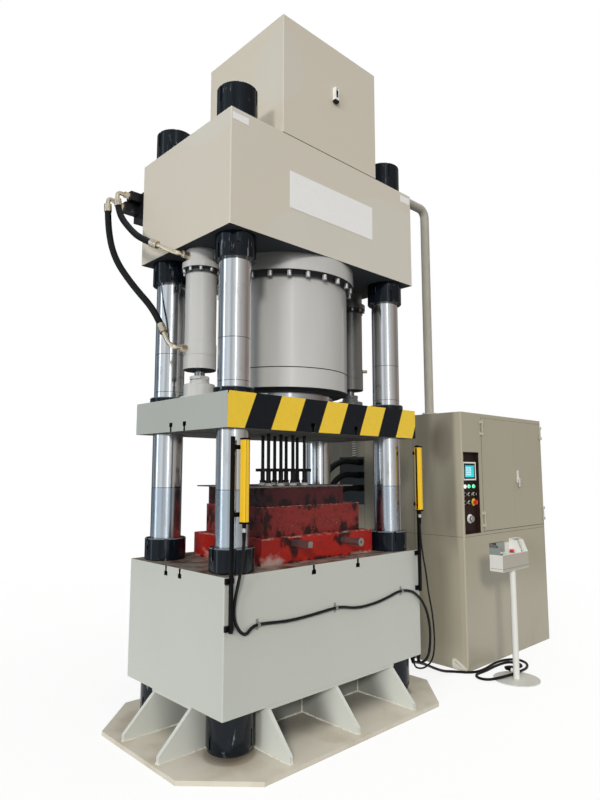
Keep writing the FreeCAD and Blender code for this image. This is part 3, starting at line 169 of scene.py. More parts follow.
class Nodes:
    """A node tree that is written as Python sums."""

    def __init__(self, tree: bpy.types.NodeTree) -> None:
        """Empties a tree, to fill it anew."""
        self.tree = tree
        self.tree.nodes.clear()

    def node(self, kind: str, settings: Mapping[str, Any] | None = None,
             sockets: Mapping[Any, Input] | None = None) -> bpy.types.Node:
        """Adds a node.

        Args:
            kind: The node's type.
            settings: Its properties; "stops" fills a ramp with (place, colour) pairs.
            sockets: Values or links of its inputs, by name or number.

        Returns:
            The node.
        """
        made = self.tree.nodes.new(kind)
        for word, setting in (settings or {}).items():
            if word == "stops":
                for _ in setting[2:]:
                    made.color_ramp.elements.new(0.5)
                for element, (stop, colour) in zip(made.color_ramp.elements, setting):
                    element.position, element.color = stop, (*colour, 1.0)
            else:
                setattr(made, word, setting)
        for socket, value in (sockets or {}).items():
            target = made.inputs[socket]
            if isinstance(value, Value):
                self.tree.links.new(value.socket, target)
            elif isinstance(value, tuple) and target.type == "RGBA":
                target.default_value = (*value[:3], 1.0)
            else:
                target.default_value = value
        return made

    def take(self, kind: str, settings: Mapping[str, Any] | None = None,
             sockets: Mapping[Any, Input] | None = None, output: int | str = 0) -> Value:
        """Adds a node and returns one of its outputs.

        Args:
            kind: The node's type.
            settings: Its properties.
            sockets: Values or links of its inputs.
            output: The output's name or number.

        Returns:
            The output.
        """
        return Value(self, self.node(kind, settings, sockets).outputs[output])

    def parts(self, vector: Value) -> list[Value]:
        """Splits a vector into its X, Y and Z."""
        split = self.node("ShaderNodeSeparateXYZ", {}, {0: vector})
        return [Value(self, out) for out in split.outputs]

    def mix(self, first: Input, second: Input, share: Input) -> Value:
        """Blends two colours, where share says how much of the second."""
        return self.take("ShaderNodeMix", {"data_type": "RGBA"}, {0: share, 6: first, 7: second}, 2)


class Shader(Nodes):
    """One material's node tree, with the object's coordinates and normal at hand."""

    def __init__(self, name: str) -> None:
        """Makes the material.

        Args:
            name: Its name.
        """
        self.material = bpy.data.materials.new(name)
        self.material.use_nodes = True
        super().__init__(self.material.node_tree)
        self.place = self.take("ShaderNodeTexCoord", output="Object")
        self.x, self.y, self.z = self.parts(self.place)
        normal = self.take("ShaderNodeNewGeometry", output="Normal")
        self.face_x, self.face_y, self.face_z = self.parts(normal)

    def noise(self, scale: float, detail: float = 2.0, stretch: Point = EVEN,
              shift: float = 0.0) -> Value:
        """Cloudy noise over the object.

        Args:
            scale: Clouds per metre.
            detail: Octaves.
            stretch: Scale along each axis.
            shift: Moves the pattern, so that two noises differ.

        Returns:
            Noise round 0.5.
        """
        where = self.take("ShaderNodeMapping", {}, {0: self.place, 1: (shift, shift, shift),
                                                   3: stretch})
        return self.take("ShaderNodeTexNoise", {}, {"Vector": where, "Scale": scale,
                                                    "Detail": detail}, "Fac")

    def cells(self, scale: float, stretch: Point = EVEN) -> Value:
        """The distance to scattered points, scale of them to a metre."""
        where = self.take("ShaderNodeMapping", {}, {0: self.place, 3: stretch})
        return self.take("ShaderNodeTexVoronoi", {}, {"Vector": where, "Scale": scale}, "Distance")

    def slots(self, low: float, high: float, reach: Flat) -> Value:
        """The inside of the T-slots of a plate, two along X and two along Y.

        Args:
            low: Where the slots start along Z.
            high: Where they end.
            reach: Half the plate's length and depth.

        Returns:
            1 on their walls and floor.
        """
        skin = 0.0004
        along_x = abs(abs(self.y) - SLOT_AT[1]).below(SLOT_HALF)
        along_y = abs(abs(self.x) - SLOT_AT[0]).below(SLOT_HALF)
        inner_x, inner_y = abs(self.x).below(reach[0] - skin), abs(self.y).below(reach[1] - skin)
        cut = (along_x * inner_x).either(along_y * inner_y)
        return cut * (self.z.above(low) * self.z.below(high))

    def spot(self, x: float, z: float, wide: float, high: float) -> Value:
        """A soft oval on a face that looks along Y: 1 in its middle and 0 past its rim."""
        across, up = (self.x - x) / wide, (self.z - z) / high
        return 1.0 - across.far(up).math("MINIMUM", 1.0)

    def bump(self, height: Value, strength: float, distance: float) -> Value:
        """Turns a height into a normal.

        Args:
            height: The height, about 0 to 1.
            strength: How much of it shows.
            distance: The height's size in metres.

        Returns:
            The normal.
        """
        return self.take("ShaderNodeBump", {}, {"Strength": strength, "Distance": distance,
                                                "Height": height})

    def finish(self, sockets: Mapping[str, Input]) -> bpy.types.Material:
        """Closes the tree with one Principled shader.

        Args:
            sockets: The shader's inputs by name.

        Returns:
            The material.
        """
        body = self.take("ShaderNodeBsdfPrincipled", {}, sockets)
        self.node("ShaderNodeOutputMaterial", {}, {"Surface": body})
        return self.material


# --------------------------------------------------------------------------------------- finishes


@dataclass(frozen=True)
class Finish:
    """A surface finish: its name, main colour and gloss."""

    name: str
    colour: Colour
    roughness: float = 0.42

    def material(self) -> bpy.types.Material:
        """The Blender material, made at its first use."""
        return bpy.data.materials.get(self.name) or self.mixed(Shader(self.name))

    def mixed(self, shader: Shader) -> bpy.types.Material:
        """Builds the tree.

        Args:
            shader: The empty tree.

        Returns:
            The finished material.
        """
        grain = shader.noise(90.0, 3.0)
        return shader.finish({
            "Base Color": self.toned(shader, 0.94, 1.05, grain),
            "Roughness": grain * 0.1 + (self.roughness - 0.05),
            "Normal": shader.bump(shader.noise(500.0), 0.08, 0.0005)})

    def tone(self, share: float) -> Colour:
        """The main colour, darker or lighter."""
        return tuple(min(1.0, part * share) for part in self.colour)

    def toned(self, shader: Shader, low: float, high: float, share: Value) -> Value:
        """The main colour between two of its tones, low at share 0."""
        return shader.mix(self.tone(low), self.tone(high), share)


@dataclass(frozen=True)
class Enamel(Finish):
    """Sprayed machine enamel with orange peel, slight waves and handling marks."""

    grime: float = 0.0
    grime_low: float = 0.0
    grime_high: float = 1.0
    grime_colour: Colour = (0.16, 0.14, 0.11)

    def mixed(self, shader: Shader) -> bpy.types.Material:
        """Builds cloudy paint that darkens towards the grimy end.

        Args:
            shader: The empty tree.

        Returns:
            The finished material.
        """
        fine = shader.noise(38.0, 4.0, shift=3.0)
        paint = self.sprayed(shader, fine)
        if self.grime:
            low = shader.z.ramp(self.grime_high, self.grime_low)
            dirt = (shader.noise(7.0, 6.0, (1.0, 1.0, 0.5), 7.0).ramp(0.42, 0.78) * 0.8 + 0.2) * low
            paint = shader.mix(paint, self.grime_colour, dirt * self.grime)
        under = (-shader.face_z).above(0.7)
        return shader.finish({
            "Base Color": self.parted(shader, paint),
            "Roughness": fine * 0.12 + under * 0.5 + (self.roughness - 0.06),
            "Coat Weight": (1.0 - under) * 0.12, "Coat Roughness": 0.22,
            "Normal": self.peel(shader)})

    def sprayed(self, shader: Shader, fine: Value) -> Value:
        """Cloudy paint with darker flecks where the fine noise is high."""
        paint = self.toned(shader, 0.95, 1.035, shader.noise(1.7, 3.0))
        return shader.mix(paint, self.tone(0.90), fine.ramp(0.58, 0.80) * 0.35)

    def peel(self, shader: Shader) -> Value:
        """The normal of orange peel on slight waves."""
        height = shader.noise(330.0, 1.0) * 0.035 + shader.noise(4.2, 1.0, shift=5.0)
        return shader.bump(height, 0.35, 0.0016)

    def parted(self, shader: Shader, paint: Value) -> Value:
        """The paint with what another part of the piece changes in it. Here nothing does."""
        return paint


@dataclass(frozen=True)
class BeamEnamel(Enamel):
    """Enamel of the crown, with touched-up patches and painted shade on its underside."""

    patch_tint: Colour = (1.0, 0.975, 0.93)
    # near-black colour of the painted shade on the underside
    darkening: Colour = (0.024, 0.028, 0.034)

    def parted(self, shader: Shader, paint: Value) -> Value:
        """Adds patches and painted shade on the underside.

        Args:
            shader: The tree.
            paint: The plain paint.

        Returns:
            The paint with the change in it.
        """
        patch = shader.cells(0.9, (1.0, 1.0, 1.4)).ramp(0.44, 0.47)
        touched = tuple(c * k for c, k in zip(self.colour, self.patch_tint))
        paint = shader.mix(paint, touched, patch * 0.8)
        # painted shade: every face that looks down turns near-black
        under = (-shader.face_z).above(0.7)
        return shader.mix(paint, self.darkening, under)


@dataclass(frozen=True)
class BaseEnamel(Enamel):
    """Enamel of the floor plate and ribs: warm and stained on top, paler on the ribs, with painted shade
    under the bed.
    """

    rib_from: float = 0.0256
    rib_colour: Colour = (0.56, 0.575, 0.53)
    stain_colour: Colour = (0.44, 0.37, 0.27)
    ring: Flat = (0.155, 0.130)
    ring_colour: Colour = (0.22, 0.15, 0.09)
    shade: Colour = (0.100, 0.108, 0.105)

    def parted(self, shader: Shader, paint: Value) -> Value:
        """Parts the plate from the ribs.

        Args:
            shader: The tree.
            paint: The plain paint.

        Returns:
            The paint with the change in it.
        """
        rib = shader.z.above(self.rib_from)
        paint = shader.mix(paint, self.rib_colour, rib)
        stain = shader.noise(3.5, 6.0, shift=6.0).ramp(0.46, 0.70) * (1.0 - rib)
        paint = shader.mix(paint, self.stain_colour, stain * 0.6)
        across, back = abs(shader.x) - COLUMN_AT[0], abs(shader.y) - COLUMN_AT[1]
        ring = across.far(back).ramp(*self.ring)
        paint = shader.mix(paint, self.ring_colour, ring * (1.0 - rib) * 0.5)
        # painted shade on the plate and ribs under the bed, darkest towards the middle
        depth = abs(shader.y).ramp(0.54, 0.30) * abs(shader.x).ramp(0.90, 0.66)
        return shader.mix(paint, self.shade, depth * 0.62)


@dataclass(frozen=True)
class CabinetEnamel(Enamel):
    """Cabinet paint, with painted shade, a painted cast shadow and a painted light band on the sheet that
    faces the press.
    """

    side_to: float = 1.55
    bracket_to: float = 1.5126
    bracket_colour: Colour = (0.62, 0.60, 0.52)
    # where and how large the painted cast shadow on the left side is, and its colour
    cast_shadow_at: Flat = (-0.30, 1.80)
    cast_shadow_size: Flat = (0.14, 0.26)
    cast_shadow_colour: Colour = (0.125, 0.105, 0.078)

    def parted(self, shader: Shader, paint: Value) -> Value:
        """Paints shade, a cast shadow and a light band on the left side, and pales the brackets.

        Args:
            shader: The tree.
            paint: The plain paint.

        Returns:
            The paint with the change in it.
        """
        # painted shade: faces looking to -X on the sheet that faces the press get a darker, streaked copy
        # of the paint
        side = (-shader.face_x).above(0.5) * shader.x.below(self.side_to)
        streak = shader.noise(2.2, 3.0, (1.0, 1.6, 0.25), 9.0).ramp(0.42, 0.62)
        dark = self.toned(shader, 0.55, 0.74, streak)
        # painted cast shadow of the slide's corner on the left side
        across = (shader.y - self.cast_shadow_at[0]) / self.cast_shadow_size[0]
        up = (shader.z - self.cast_shadow_at[1]) / self.cast_shadow_size[1]
        cast_shadow = across.far(up).ramp(1.0, 0.45)
        dark = shader.mix(dark, self.cast_shadow_colour, cast_shadow * (streak * 0.3 + 0.4))
        # painted light: a lit band by the front corner and a wider lit area low down
        band = shader.y.ramp(-0.39, -0.44).either(
            shader.y.ramp(-0.02, -0.40) * shader.z.ramp(1.15, 0.80) * 0.8)
        dark = shader.mix(dark, self.tone(1.02), band)
        bracket = shader.x.below(self.bracket_to)
        return shader.mix(shader.mix(paint, dark, side), self.bracket_colour, bracket)


@dataclass(frozen=True)
class DeskEnamel(Enamel):
    """Desk paint: pale ends, a darker, warmer front that is painted shade, and a bare metal guard on the
    left with painted shade in it.
    """

    front_z: Flat = (0.811, 0.931)
    shaded_front_colour: Colour = (0.41, 0.385, 0.325)
    guard_from: float = 0.9305
    guard_to: float = 1.66
    guard_colour: Colour = (0.235, 0.260, 0.245)
    lip_from: float = 1.0085
    guard_dark_colour: Colour = (0.018, 0.018, 0.018)

    def parted(self, shader: Shader, paint: Value) -> Value:
        """Parts the front, painted darker as shade, and the left guard, with painted shade in it.

        Args:
            shader: The tree.
            paint: The plain paint.

        Returns:
            The paint with the change in it.
        """
        # painted shade: the face looking to -Y gets a darker, warmer colour than the ends
        front = (-shader.face_y).above(0.5) * shader.z.above(self.front_z[0])
        paint = shader.mix(paint, self.shaded_front_colour, front * shader.z.below(self.front_z[1]))
        guard = shader.z.above(self.guard_from) * shader.x.below(self.guard_to)
        paint = shader.mix(paint, self.guard_colour, guard)
        # painted shade inside the hood: a ragged near-black patch near the guard's top towards the left;
        # the guard's top edge is near-black as well
        worn = shader.noise(14.0, 4.0, shift=13.0).ramp(0.40, 0.60) * shader.z.ramp(0.975, 0.995)
        edge = shader.z.above(self.lip_from).either(worn * shader.x.below(1.53))
        return shader.mix(paint, self.guard_dark_colour, guard * edge)


@dataclass(frozen=True)
class BedEnamel(Enamel):
    """Enamel on a block whose machined top is bare steel, stained brown by oil and rust, with painted
    shade inside its T-slots.
    """

    top: float = 0.995
    steel: Colour = (0.30, 0.26, 0.22)
    rust: Colour = (0.10, 0.045, 0.03)
    rubbed: Colour = (0.42, 0.38, 0.33)
    slot_reach: Flat = (0.866, 0.505)
    slot_shade: Colour = (0.006, 0.006, 0.006)

    def mixed(self, shader: Shader) -> bpy.types.Material:
        """Builds paint below and stained steel on what looks up near the top.

        Args:
            shader: The empty tree.

        Returns:
            The finished material.
        """
        paint = self.sprayed(shader, shader.noise(38.0, 4.0, shift=3.0))
        stain = shader.noise(9.0, 6.0, shift=2.0)
        steel = shader.mix(self.steel, self.rust, stain.ramp(0.40, 0.66))
        steel = shader.mix(steel, self.rubbed, shader.noise(60.0, 5.0).ramp(0.60, 0.75))
        inside = shader.z.ramp(self.top - 0.07, self.top - 0.06)
        bare = (shader.face_z.above(0.5) * inside).either(
            inside * (1.0 - abs(shader.face_y).above(0.5).either(abs(shader.face_x).above(0.5))))
        # painted shade: the walls and floor of the T-slots turn near-black
        dark = shader.slots(self.top - 0.060, self.top - 0.001, self.slot_reach)
        return shader.finish({
            "Base Color": shader.mix(shader.mix(paint, steel, bare), self.slot_shade, dark),
            "Roughness": bare * 0.12 + (self.roughness - 0.04), "Metallic": bare * 0.35,
            "Coat Weight": (1.0 - bare) * 0.12, "Coat Roughness": 0.22,
            "Normal": self.peel(shader)})


@dataclass(frozen=True)
class Gloss(Finish):
    """Smooth glossy enamel on a turned barrel, with faint vertical wipe marks, painted shade and a black
    wiper ring.
    """

    shaded: float = 1.0
    shadow: Colour = (0.008, 0.009, 0.011)
    main_reach: float = 0.47

    def mixed(self, shader: Shader) -> bpy.types.Material:
        """Builds the gloss coat, with painted shade making it darker on the right and under the flanges.

        Args:
            shader: The empty tree.

        Returns:
            The finished material.
        """
        wipe = shader.noise(3.0, 4.0, (3.0, 3.0, 0.5))
        fine = shader.noise(25.0, 4.0, shift=4.0)
        paint = self.toned(shader, 0.93, 1.05, wipe)
        # painted shade: a darker copy of the paint for the barrels on the right
        right_shade = self.toned(shader, 0.90 * self.shaded, 1.1 * self.shaded, wipe)
        paint = shader.mix(paint, right_shade, shader.x.above(0.5))
        # painted shade on faces looking down under the flanges and at the foot; the wiper ring is really
        # black
        level = shader.z.above(2.80).either(shader.z.below(2.22))
        under = (-shader.face_z).above(0.6) * level
        wiper = shader.z.below(2.083) * abs(shader.x).below(0.5)
        main = abs(shader.x).below(self.main_reach)
        # painted shadow of each flange on the barrel just below it
        flange_shadow = (shader.z.ramp(2.790, 2.812) * shader.z.below(2.8375) * main).either(
            shader.z.ramp(2.782, 2.796) * shader.z.below(2.8245) * (1.0 - main))
        dark = under.either(wiper).either(flange_shadow * 0.9)
        return shader.finish({
            "Base Color": shader.mix(paint, self.shadow, dark),
            "Roughness": wipe * 0.10 + fine * 0.05 + dark * 0.4 + (self.roughness - 0.07),
            "Coat Weight": (1.0 - dark) * 0.70, "Coat Roughness": 0.13,
            "Normal": shader.bump(shader.noise(260.0, 1.0) * 0.02 + shader.noise(4.0, 2.0),
                                  0.40, 0.0045)})


@dataclass(frozen=True)
class Chrome(Finish):
    """Polished hard chrome with wipe streaks, duller below each worn line."""

    roughness: float = 0.12
    worn_below: float = 0.0
    lines: tuple[float, ...] = ()
    line_edge: Flat = (0.0030, 0.0012)
    line_colour: Colour = (0.05, 0.05, 0.05)
    worn_colour: Colour = (0.54, 0.59, 0.64)
    haze_colour: Colour = (0.30, 0.25, 0.21)

    def mixed(self, shader: Shader) -> bpy.types.Material:
        """Builds the chrome.

        Args:
            shader: The empty tree.

        Returns:
            The finished material.
        """
        streak = shader.noise(9.0, 5.0, (5.0, 5.0, 0.35))
        haze = shader.noise(16.0, 3.0, (1.0, 1.0, 0.3), 6.0)
        worn = shader.z.ramp(self.worn_below + 0.002, self.worn_below - 0.002)
        base = self.toned(shader, 0.88, 1.02, streak)
        base = shader.mix(base, self.worn_colour, worn)
        base = shader.mix(base, self.haze_colour, haze.ramp(0.55, 0.80) * 0.35)
        for height in self.lines:
            trace = abs(shader.z - height).ramp(*self.line_edge)
            base = shader.mix(base, self.line_colour, trace * (haze * 0.7 + 0.3))
        turning = shader.noise(260.0, 2.0, (0.02, 0.02, 1.0), 2.0)
        return shader.finish({
            "Base Color": base, "Metallic": 1.0,
            "Roughness": streak * 0.08 + worn * haze * 0.20 + (self.roughness - 0.03),
            "Normal": shader.bump(turning, 0.10, 0.0004)})


@dataclass(frozen=True)
class Oxide(Finish):
    """Oiled black oxide on nuts, with scuffs where spanners and slings touched it, and pale upward
    chamfers that are partly a painted highlight.
    """

    roughness: float = 0.13
    scuff_and_sheen: Colour = (0.26, 0.28, 0.31)
    worn: float = 0.75
    pale_top: float = 0.0
    pale: Colour = (0.46, 0.45, 0.43)

    def mixed(self, shader: Shader) -> bpy.types.Material:
        """Builds the blued steel.

        Args:
            shader: The empty tree.

        Returns:
            The finished material.
        """
        cloud = shader.noise(14.0, 4.0, (1.0, 1.0, 0.4))
        scratch = shader.noise(60.0, 6.0, (1.0, 1.0, 0.16), 9.0).ramp(0.60, 0.72)
        patch = shader.noise(11.0, 3.0, shift=12.0).ramp(0.46, 0.62)
        # pale rims on chamfers that look up: partly worn edges, partly a painted highlight
        rim = shader.face_z.ramp(0.30, 0.50) * shader.face_z.ramp(0.97, 0.85)
        marks = (scratch * patch * self.worn).either(rim * 0.55)
        base = shader.mix(self.toned(shader, 0.6, 1.6, cloud), self.scuff_and_sheen, marks)
        if self.pale_top:
            foot = shader.z.ramp(self.pale_top + 0.001, self.pale_top)
            base = shader.mix(base, self.pale, foot)
        return shader.finish({
            "Base Color": base, "Specular IOR Level": 0.24,
            "Roughness": cloud * 0.05 + (self.roughness - 0.025),
            "Normal": shader.bump(cloud + shader.noise(240.0, 2.0) * 0.10, 0.07, 0.0012)})


@dataclass(frozen=True)
class Metal(Finish):
    """Machined or plated steel with a brushed grain along one axis."""

    stretch: Point = (1.0, 1.0, 8.0)
    rust: float = 0.0
    metallic: float = 0.9
    rust_colour: Colour = (0.13, 0.065, 0.04)

    def mixed(self, shader: Shader) -> bpy.types.Material:
        """Builds the metal.

        Args:
            shader: The empty tree.

        Returns:
            The finished material.
        """
        grain, stain, base = self.brushed(shader)
        return shader.finish({
            "Base Color": base, "Metallic": self.metallic,
            "Roughness": grain * 0.16 + stain * (0.25 * self.rust) + (self.roughness - 0.08),
            "Normal": shader.bump(grain, 0.10, 0.0005)})

    def brushed(self, shader: Shader) -> tuple[Value, Value, Value]:
        """Brushed steel with rust in patches.

        Args:
            shader: The tree.

        Returns:
            Its grain, its stain and its colour.
        """
        grain = shader.noise(120.0, 4.0, self.stretch)
        stain = shader.noise(13.0, 5.0, shift=8.0).ramp(0.46, 0.70)
        base = self.toned(shader, 0.72, 1.18, grain)
        return grain, stain, shader.mix(base, self.rust_colour, stain * self.rust)


@dataclass(frozen=True)
class Hazard(Finish):
    """Grey enamel on a slide whose front carries slanted yellow and black bands, with painted shade on its
    underside and in its T-slots.
    """

    yellow: Colour = (0.88, 0.60, 0.045)
    black: Colour = (0.003, 0.0045, 0.007)
    first: float = -0.7385
    pitch: float = 0.1946
    lean: float = 0.42
    low: float = 1.793
    front_from: float = 0.49
    slot_z: Flat = (1.794, 1.850)
    slot_reach: Flat = (0.857, 0.503)
    slot_shade: Colour = (0.004, 0.004, 0.004)
    dusty: Colour = (0.007, 0.010, 0.015)
    rubbed: Colour = (0.30, 0.27, 0.20)
    # colour of the painted shade on the underside
    darkening: Colour = (0.050, 0.044, 0.036)

    def mixed(self, shader: Shader) -> bpy.types.Material:
        """Builds the bands by place along the front.

        Args:
            shader: The empty tree.

        Returns:
            The finished material.
        """
        along = (shader.x - (shader.z - self.low) * self.lean - self.first) / (self.pitch * 2.0)
        band = along.fraction().above(0.5)
        fine = shader.noise(30.0, 5.0)
        rub = shader.noise(75.0, 6.0, shift=5.0).ramp(0.69, 0.76)
        yellow = shader.mix(self.yellow, tuple(c * 0.86 for c in self.yellow), fine)
        black = shader.mix(self.black, self.dusty, fine)
        bands = shader.mix(black, yellow, band)
        bands = shader.mix(bands, self.rubbed, rub * 0.25)
        front = (-shader.face_y).above(0.5) * (-shader.y).above(self.front_from)
        paint = self.toned(shader, 0.95, 1.04, shader.noise(1.7, 3.0))
        # painted shade on the underside, streaked with dirt
        dirt = shader.noise(12.0, 6.0, shift=7.0).ramp(0.40, 0.75)
        under = (-shader.face_z).above(0.5)
        paint = shader.mix(paint, self.darkening, under * (dirt * 0.35 + 0.65))
        # painted shade inside the T-slots
        paint = shader.mix(shader.mix(paint, bands, front), self.slot_shade,
                           shader.slots(*self.slot_z, self.slot_reach))
        return shader.finish({
            "Base Color": paint, "Specular IOR Level": 0.22,
            "Roughness": fine * 0.12 + under * 0.4 + (self.roughness - 0.06),
            "Normal": shader.bump(shader.noise(330.0, 1.0) * 0.035 + shader.noise(4.2, 1.0), 0.3,
                                  0.0016)})


@dataclass(frozen=True)
class Scorched(Finish):
    """Worn red die paint: burnt patches, chips down to steel, pale scrapes and painted shade at the left
    end.
    """

    scorches: tuple[tuple[float, float, float, float], ...] = ()
    scrapes: tuple[tuple[float, float, float, float], ...] = ()
    age: float = 0.4
    low: float = 1.0
    high: float = 1.15
    tar: Colour = (0.030, 0.008, 0.009)
    burnt: Colour = (0.010, 0.008, 0.008)
    primer: Colour = (0.46, 0.38, 0.34)

    def mixed(self, shader: Shader) -> bpy.types.Material:
        """Builds the paint with painted shade at its left end, then burnt patches, chips and scrapes over
        it.

        Args:
            shader: The empty tree.

        Returns:
            The finished material.
        """
        cloud, fine = shader.noise(5.0, 5.0), shader.noise(45.0, 7.0, shift=3.0)
        paint = self.toned(shader, 0.55, 1.20, cloud)
        paint = shader.mix(paint, self.tar, fine.ramp(0.48, 0.70) * self.age)
        # painted shade: darker towards the left end
        paint = shader.mix(paint, self.tone(0.30), shader.x.ramp(-0.20, -0.42) * self.age)
        ragged = shader.noise(24.0, 8.0, (1.0, 1.0, 0.55), 11.0).ramp(0.34, 0.66)
        # darker near each tier's foot, with black burnt patches
        darkening = shader.z.ramp(self.low + 0.035, self.low) * 0.55
        for spot in self.scorches:
            darkening = darkening.either(shader.spot(*spot))
        darkening = (darkening * 1.05 + ragged * 0.75 - 0.75).ramp(0.0, 0.55)
        paint = shader.mix(paint, self.burnt, darkening * 0.93)
        pale = shader.z.ramp(self.high - 0.010, self.high) * shader.noise(
            60.0, 4.0, (0.5, 0.5, 2.0), 15.0).ramp(0.50, 0.60)
        chips = shader.noise(120.0, 4.0, shift=21.0).ramp(0.70, 0.73)
        cloudy = shader.noise(18.0, 6.0, shift=17.0)
        for spot in self.scrapes:
            pale = pale.either((shader.spot(*spot) * 1.2 + cloudy.ramp(0.3, 0.7) * 0.6 - 0.6).ramp(
                0.0, 0.6) * 0.8)
        worn = pale.either(chips)
        paint = shader.mix(paint, self.primer, worn * 0.8)
        return shader.finish({
            "Base Color": paint, "Roughness": darkening * 0.25 + fine * 0.16 + (self.roughness - 0.08),
            "Specular IOR Level": 0.28,
            "Normal": shader.bump(fine * 0.6 - worn * 0.5 + shader.noise(12.0, 3.0), 0.40, 0.002)})


@dataclass(frozen=True)
class Rubber(Finish):
    """Black hose or cable cover with a faint wrap pattern and dust."""

    roughness: float = 0.46
    wrap: float = 260.0
    dusty: Colour = (0.026, 0.026, 0.027)

    def mixed(self, shader: Shader) -> bpy.types.Material:
        """Builds the rubber.

        Args:
            shader: The empty tree.

        Returns:
            The finished material.
        """
        wrap = shader.noise(self.wrap, 2.0)
        dust = shader.noise(20.0, 5.0, shift=4.0).ramp(0.50, 0.80)
        return shader.finish({
            "Base Color": shader.mix(self.colour, self.dusty, dust * 0.35),
            "Roughness": dust * 0.2 + wrap * 0.08 + (self.roughness - 0.06),
            "Specular IOR Level": 0.20,
            "Normal": shader.bump(wrap, 0.25, 0.0006)})


@dataclass(frozen=True)
class Plastic(Finish):
    """Moulded plastic with a fine spark texture."""

    texture: float = 0.12
    shine: float = 0.5

    def mixed(self, shader: Shader) -> bpy.types.Material:
        """Builds the plastic.

        Args:
            shader: The empty tree.

        Returns:
            The finished material.
        """
        grain = shader.noise(900.0, 2.0)
        return shader.finish({
            "Base Color": self.toned(shader, 0.92, 1.06, shader.noise(40.0, 4.0)),
            "Roughness": grain * 0.1 + (self.roughness - 0.05), "Specular IOR Level": self.shine,
            "Normal": shader.bump(grain, self.texture, 0.0003)})


@dataclass(frozen=True)
class Display(Finish):
    """A lit operator screen: pale cyan with a grid of plain white fields."""

    middle: Flat = SCREEN_AT
    half: Flat = (0.068, 0.050)
    grid_x: float = 0.016
    grid_half: Flat = (0.040, 0.036)
    grid_pitch: Flat = (0.0205, 0.0180)
    bar_from: float = 0.043
    cell_colour: Colour = (0.75, 0.96, 1.0)
    bar_colour: Colour = (0.02, 0.30, 0.42)
    glass: Colour = (0.006, 0.007, 0.008)

    def mixed(self, shader: Shader) -> bpy.types.Material:
        """Builds the lit fields.

        Args:
            shader: The empty tree.

        Returns:
            The finished material.
        """
        across, up = shader.x - self.middle[0], shader.z - self.middle[1]

        def lines(value: Value, pitch: float, wide: float) -> Value:
            """Thin lines a pitch apart."""
            return abs((value / pitch).fraction() - 0.5).above(0.5 - wide)

        width, height = abs(across), abs(up)
        lit = 1.0 - width.above(self.half[0]).either(height.above(self.half[1]))
        along = across + self.grid_x
        inner = 1.0 - abs(along).above(self.grid_half[0]).either(height.above(self.grid_half[1]))
        ruled = lines(along, self.grid_pitch[0], 0.10).either(lines(up, self.grid_pitch[1], 0.14))
        grid = (1.0 - ruled) * inner
        field = shader.mix(self.colour, tuple(c * 0.8 for c in self.colour), up.ramp(-0.05, 0.05))
        field = shader.mix(field, self.cell_colour, grid * 0.75)
        field = shader.mix(field, self.bar_colour, up.above(self.bar_from))
        field = shader.mix(DARK, field, lit)
        return shader.finish({
            "Base Color": self.glass, "Roughness": 0.12, "Specular IOR Level": 0.3,
            "Emission Color": field, "Emission Strength": 1.0})


@dataclass(frozen=True)
class Lamp(Finish):
    """A small lit lens."""

    power: float = 1.2

    def mixed(self, shader: Shader) -> bpy.types.Material:
        """Builds the lens.

        Args:
            shader: The empty tree.

        Returns:
            The finished material.
        """
        glow = self.toned(shader, 0.75, 1.1, shader.noise(300.0, 1.0))
        return shader.finish({"Base Color": self.colour, "Roughness": self.roughness,
                              "Emission Color": glow, "Emission Strength": self.power})


@dataclass(frozen=True)
class Trim(Finish):
    """The parts round the keys: metal bezels, a yellow ring, a lit white lamp, a white port."""

    ring: Flat = (KEY_X[2], KEY_Z[2])
    lamp: Flat = (KEY_X[0], KEY_Z[0])
    green: Sequence[Flat] = ((KEY_X[1], KEY_Z[0]), (KEY_X[2], KEY_Z[0]))
    port_to: float = 1.25
    ring_colour: Colour = (0.80, 0.58, 0.03)
    white: Colour = (0.78, 0.78, 0.75)
    lamp_glow: Colour = (0.95, 1.0, 0.98)
    key_glow: Colour = (0.05, 0.72, 0.34)

    def mixed(self, shader: Shader) -> bpy.types.Material:
        """Builds the finish by place on the panel.

        Args:
            shader: The empty tree.

        Returns:
            The finished material.
        """
        yellow = self.near(shader, self.ring, 0.031)
        lit = self.near(shader, self.lamp, 0.0142)
        first, second = (self.near(shader, at, 0.0154) for at in self.green)
        green = first.either(second)
        port = shader.z.below(self.port_to)
        base = self.toned(shader, 0.92, 1.06, shader.noise(60.0, 3.0))
        base = shader.mix(base, self.ring_colour, yellow)
        base = shader.mix(base, self.white, port.either(lit))
        return shader.finish({
            "Base Color": base, "Metallic": (1.0 - yellow.either(port).either(lit)) * 0.3,
            "Roughness": self.roughness,
            "Emission Color": shader.mix(shader.mix(DARK, self.lamp_glow, lit), self.key_glow,
                                         green),
            "Emission Strength": 1.3})

    def near(self, shader: Shader, at: Flat, radius: float) -> Value:
        """1 within a radius of a place on the panel, given along X and Z."""
        across, up = shader.x - at[0], shader.z - at[1]
        return across.far(up).below(radius)


@dataclass(frozen=True)
class Fitting(Metal):
    """Pale plated fittings, with the port plate in the cabinet's side black."""

    rust_colour: Colour = (0.16, 0.10, 0.06)
    plate_from: float = 1.5165
    plate_colour: Colour = (0.008, 0.008, 0.008)

    def mixed(self, shader: Shader) -> bpy.types.Material:
        """Builds the plating.

        Args:
            shader: The empty tree.

        Returns:
            The finished material.
        """
        plate = shader.x.above(self.plate_from)
        grain, _, base = self.brushed(shader)
        return shader.finish({
            "Base Color": shader.mix(base, self.plate_colour, plate),
            "Metallic": (1.0 - plate) * self.metallic,
            "Roughness": grain * 0.10 + self.roughness,
            "Normal": shader.bump(grain, 0.10, 0.0005)})


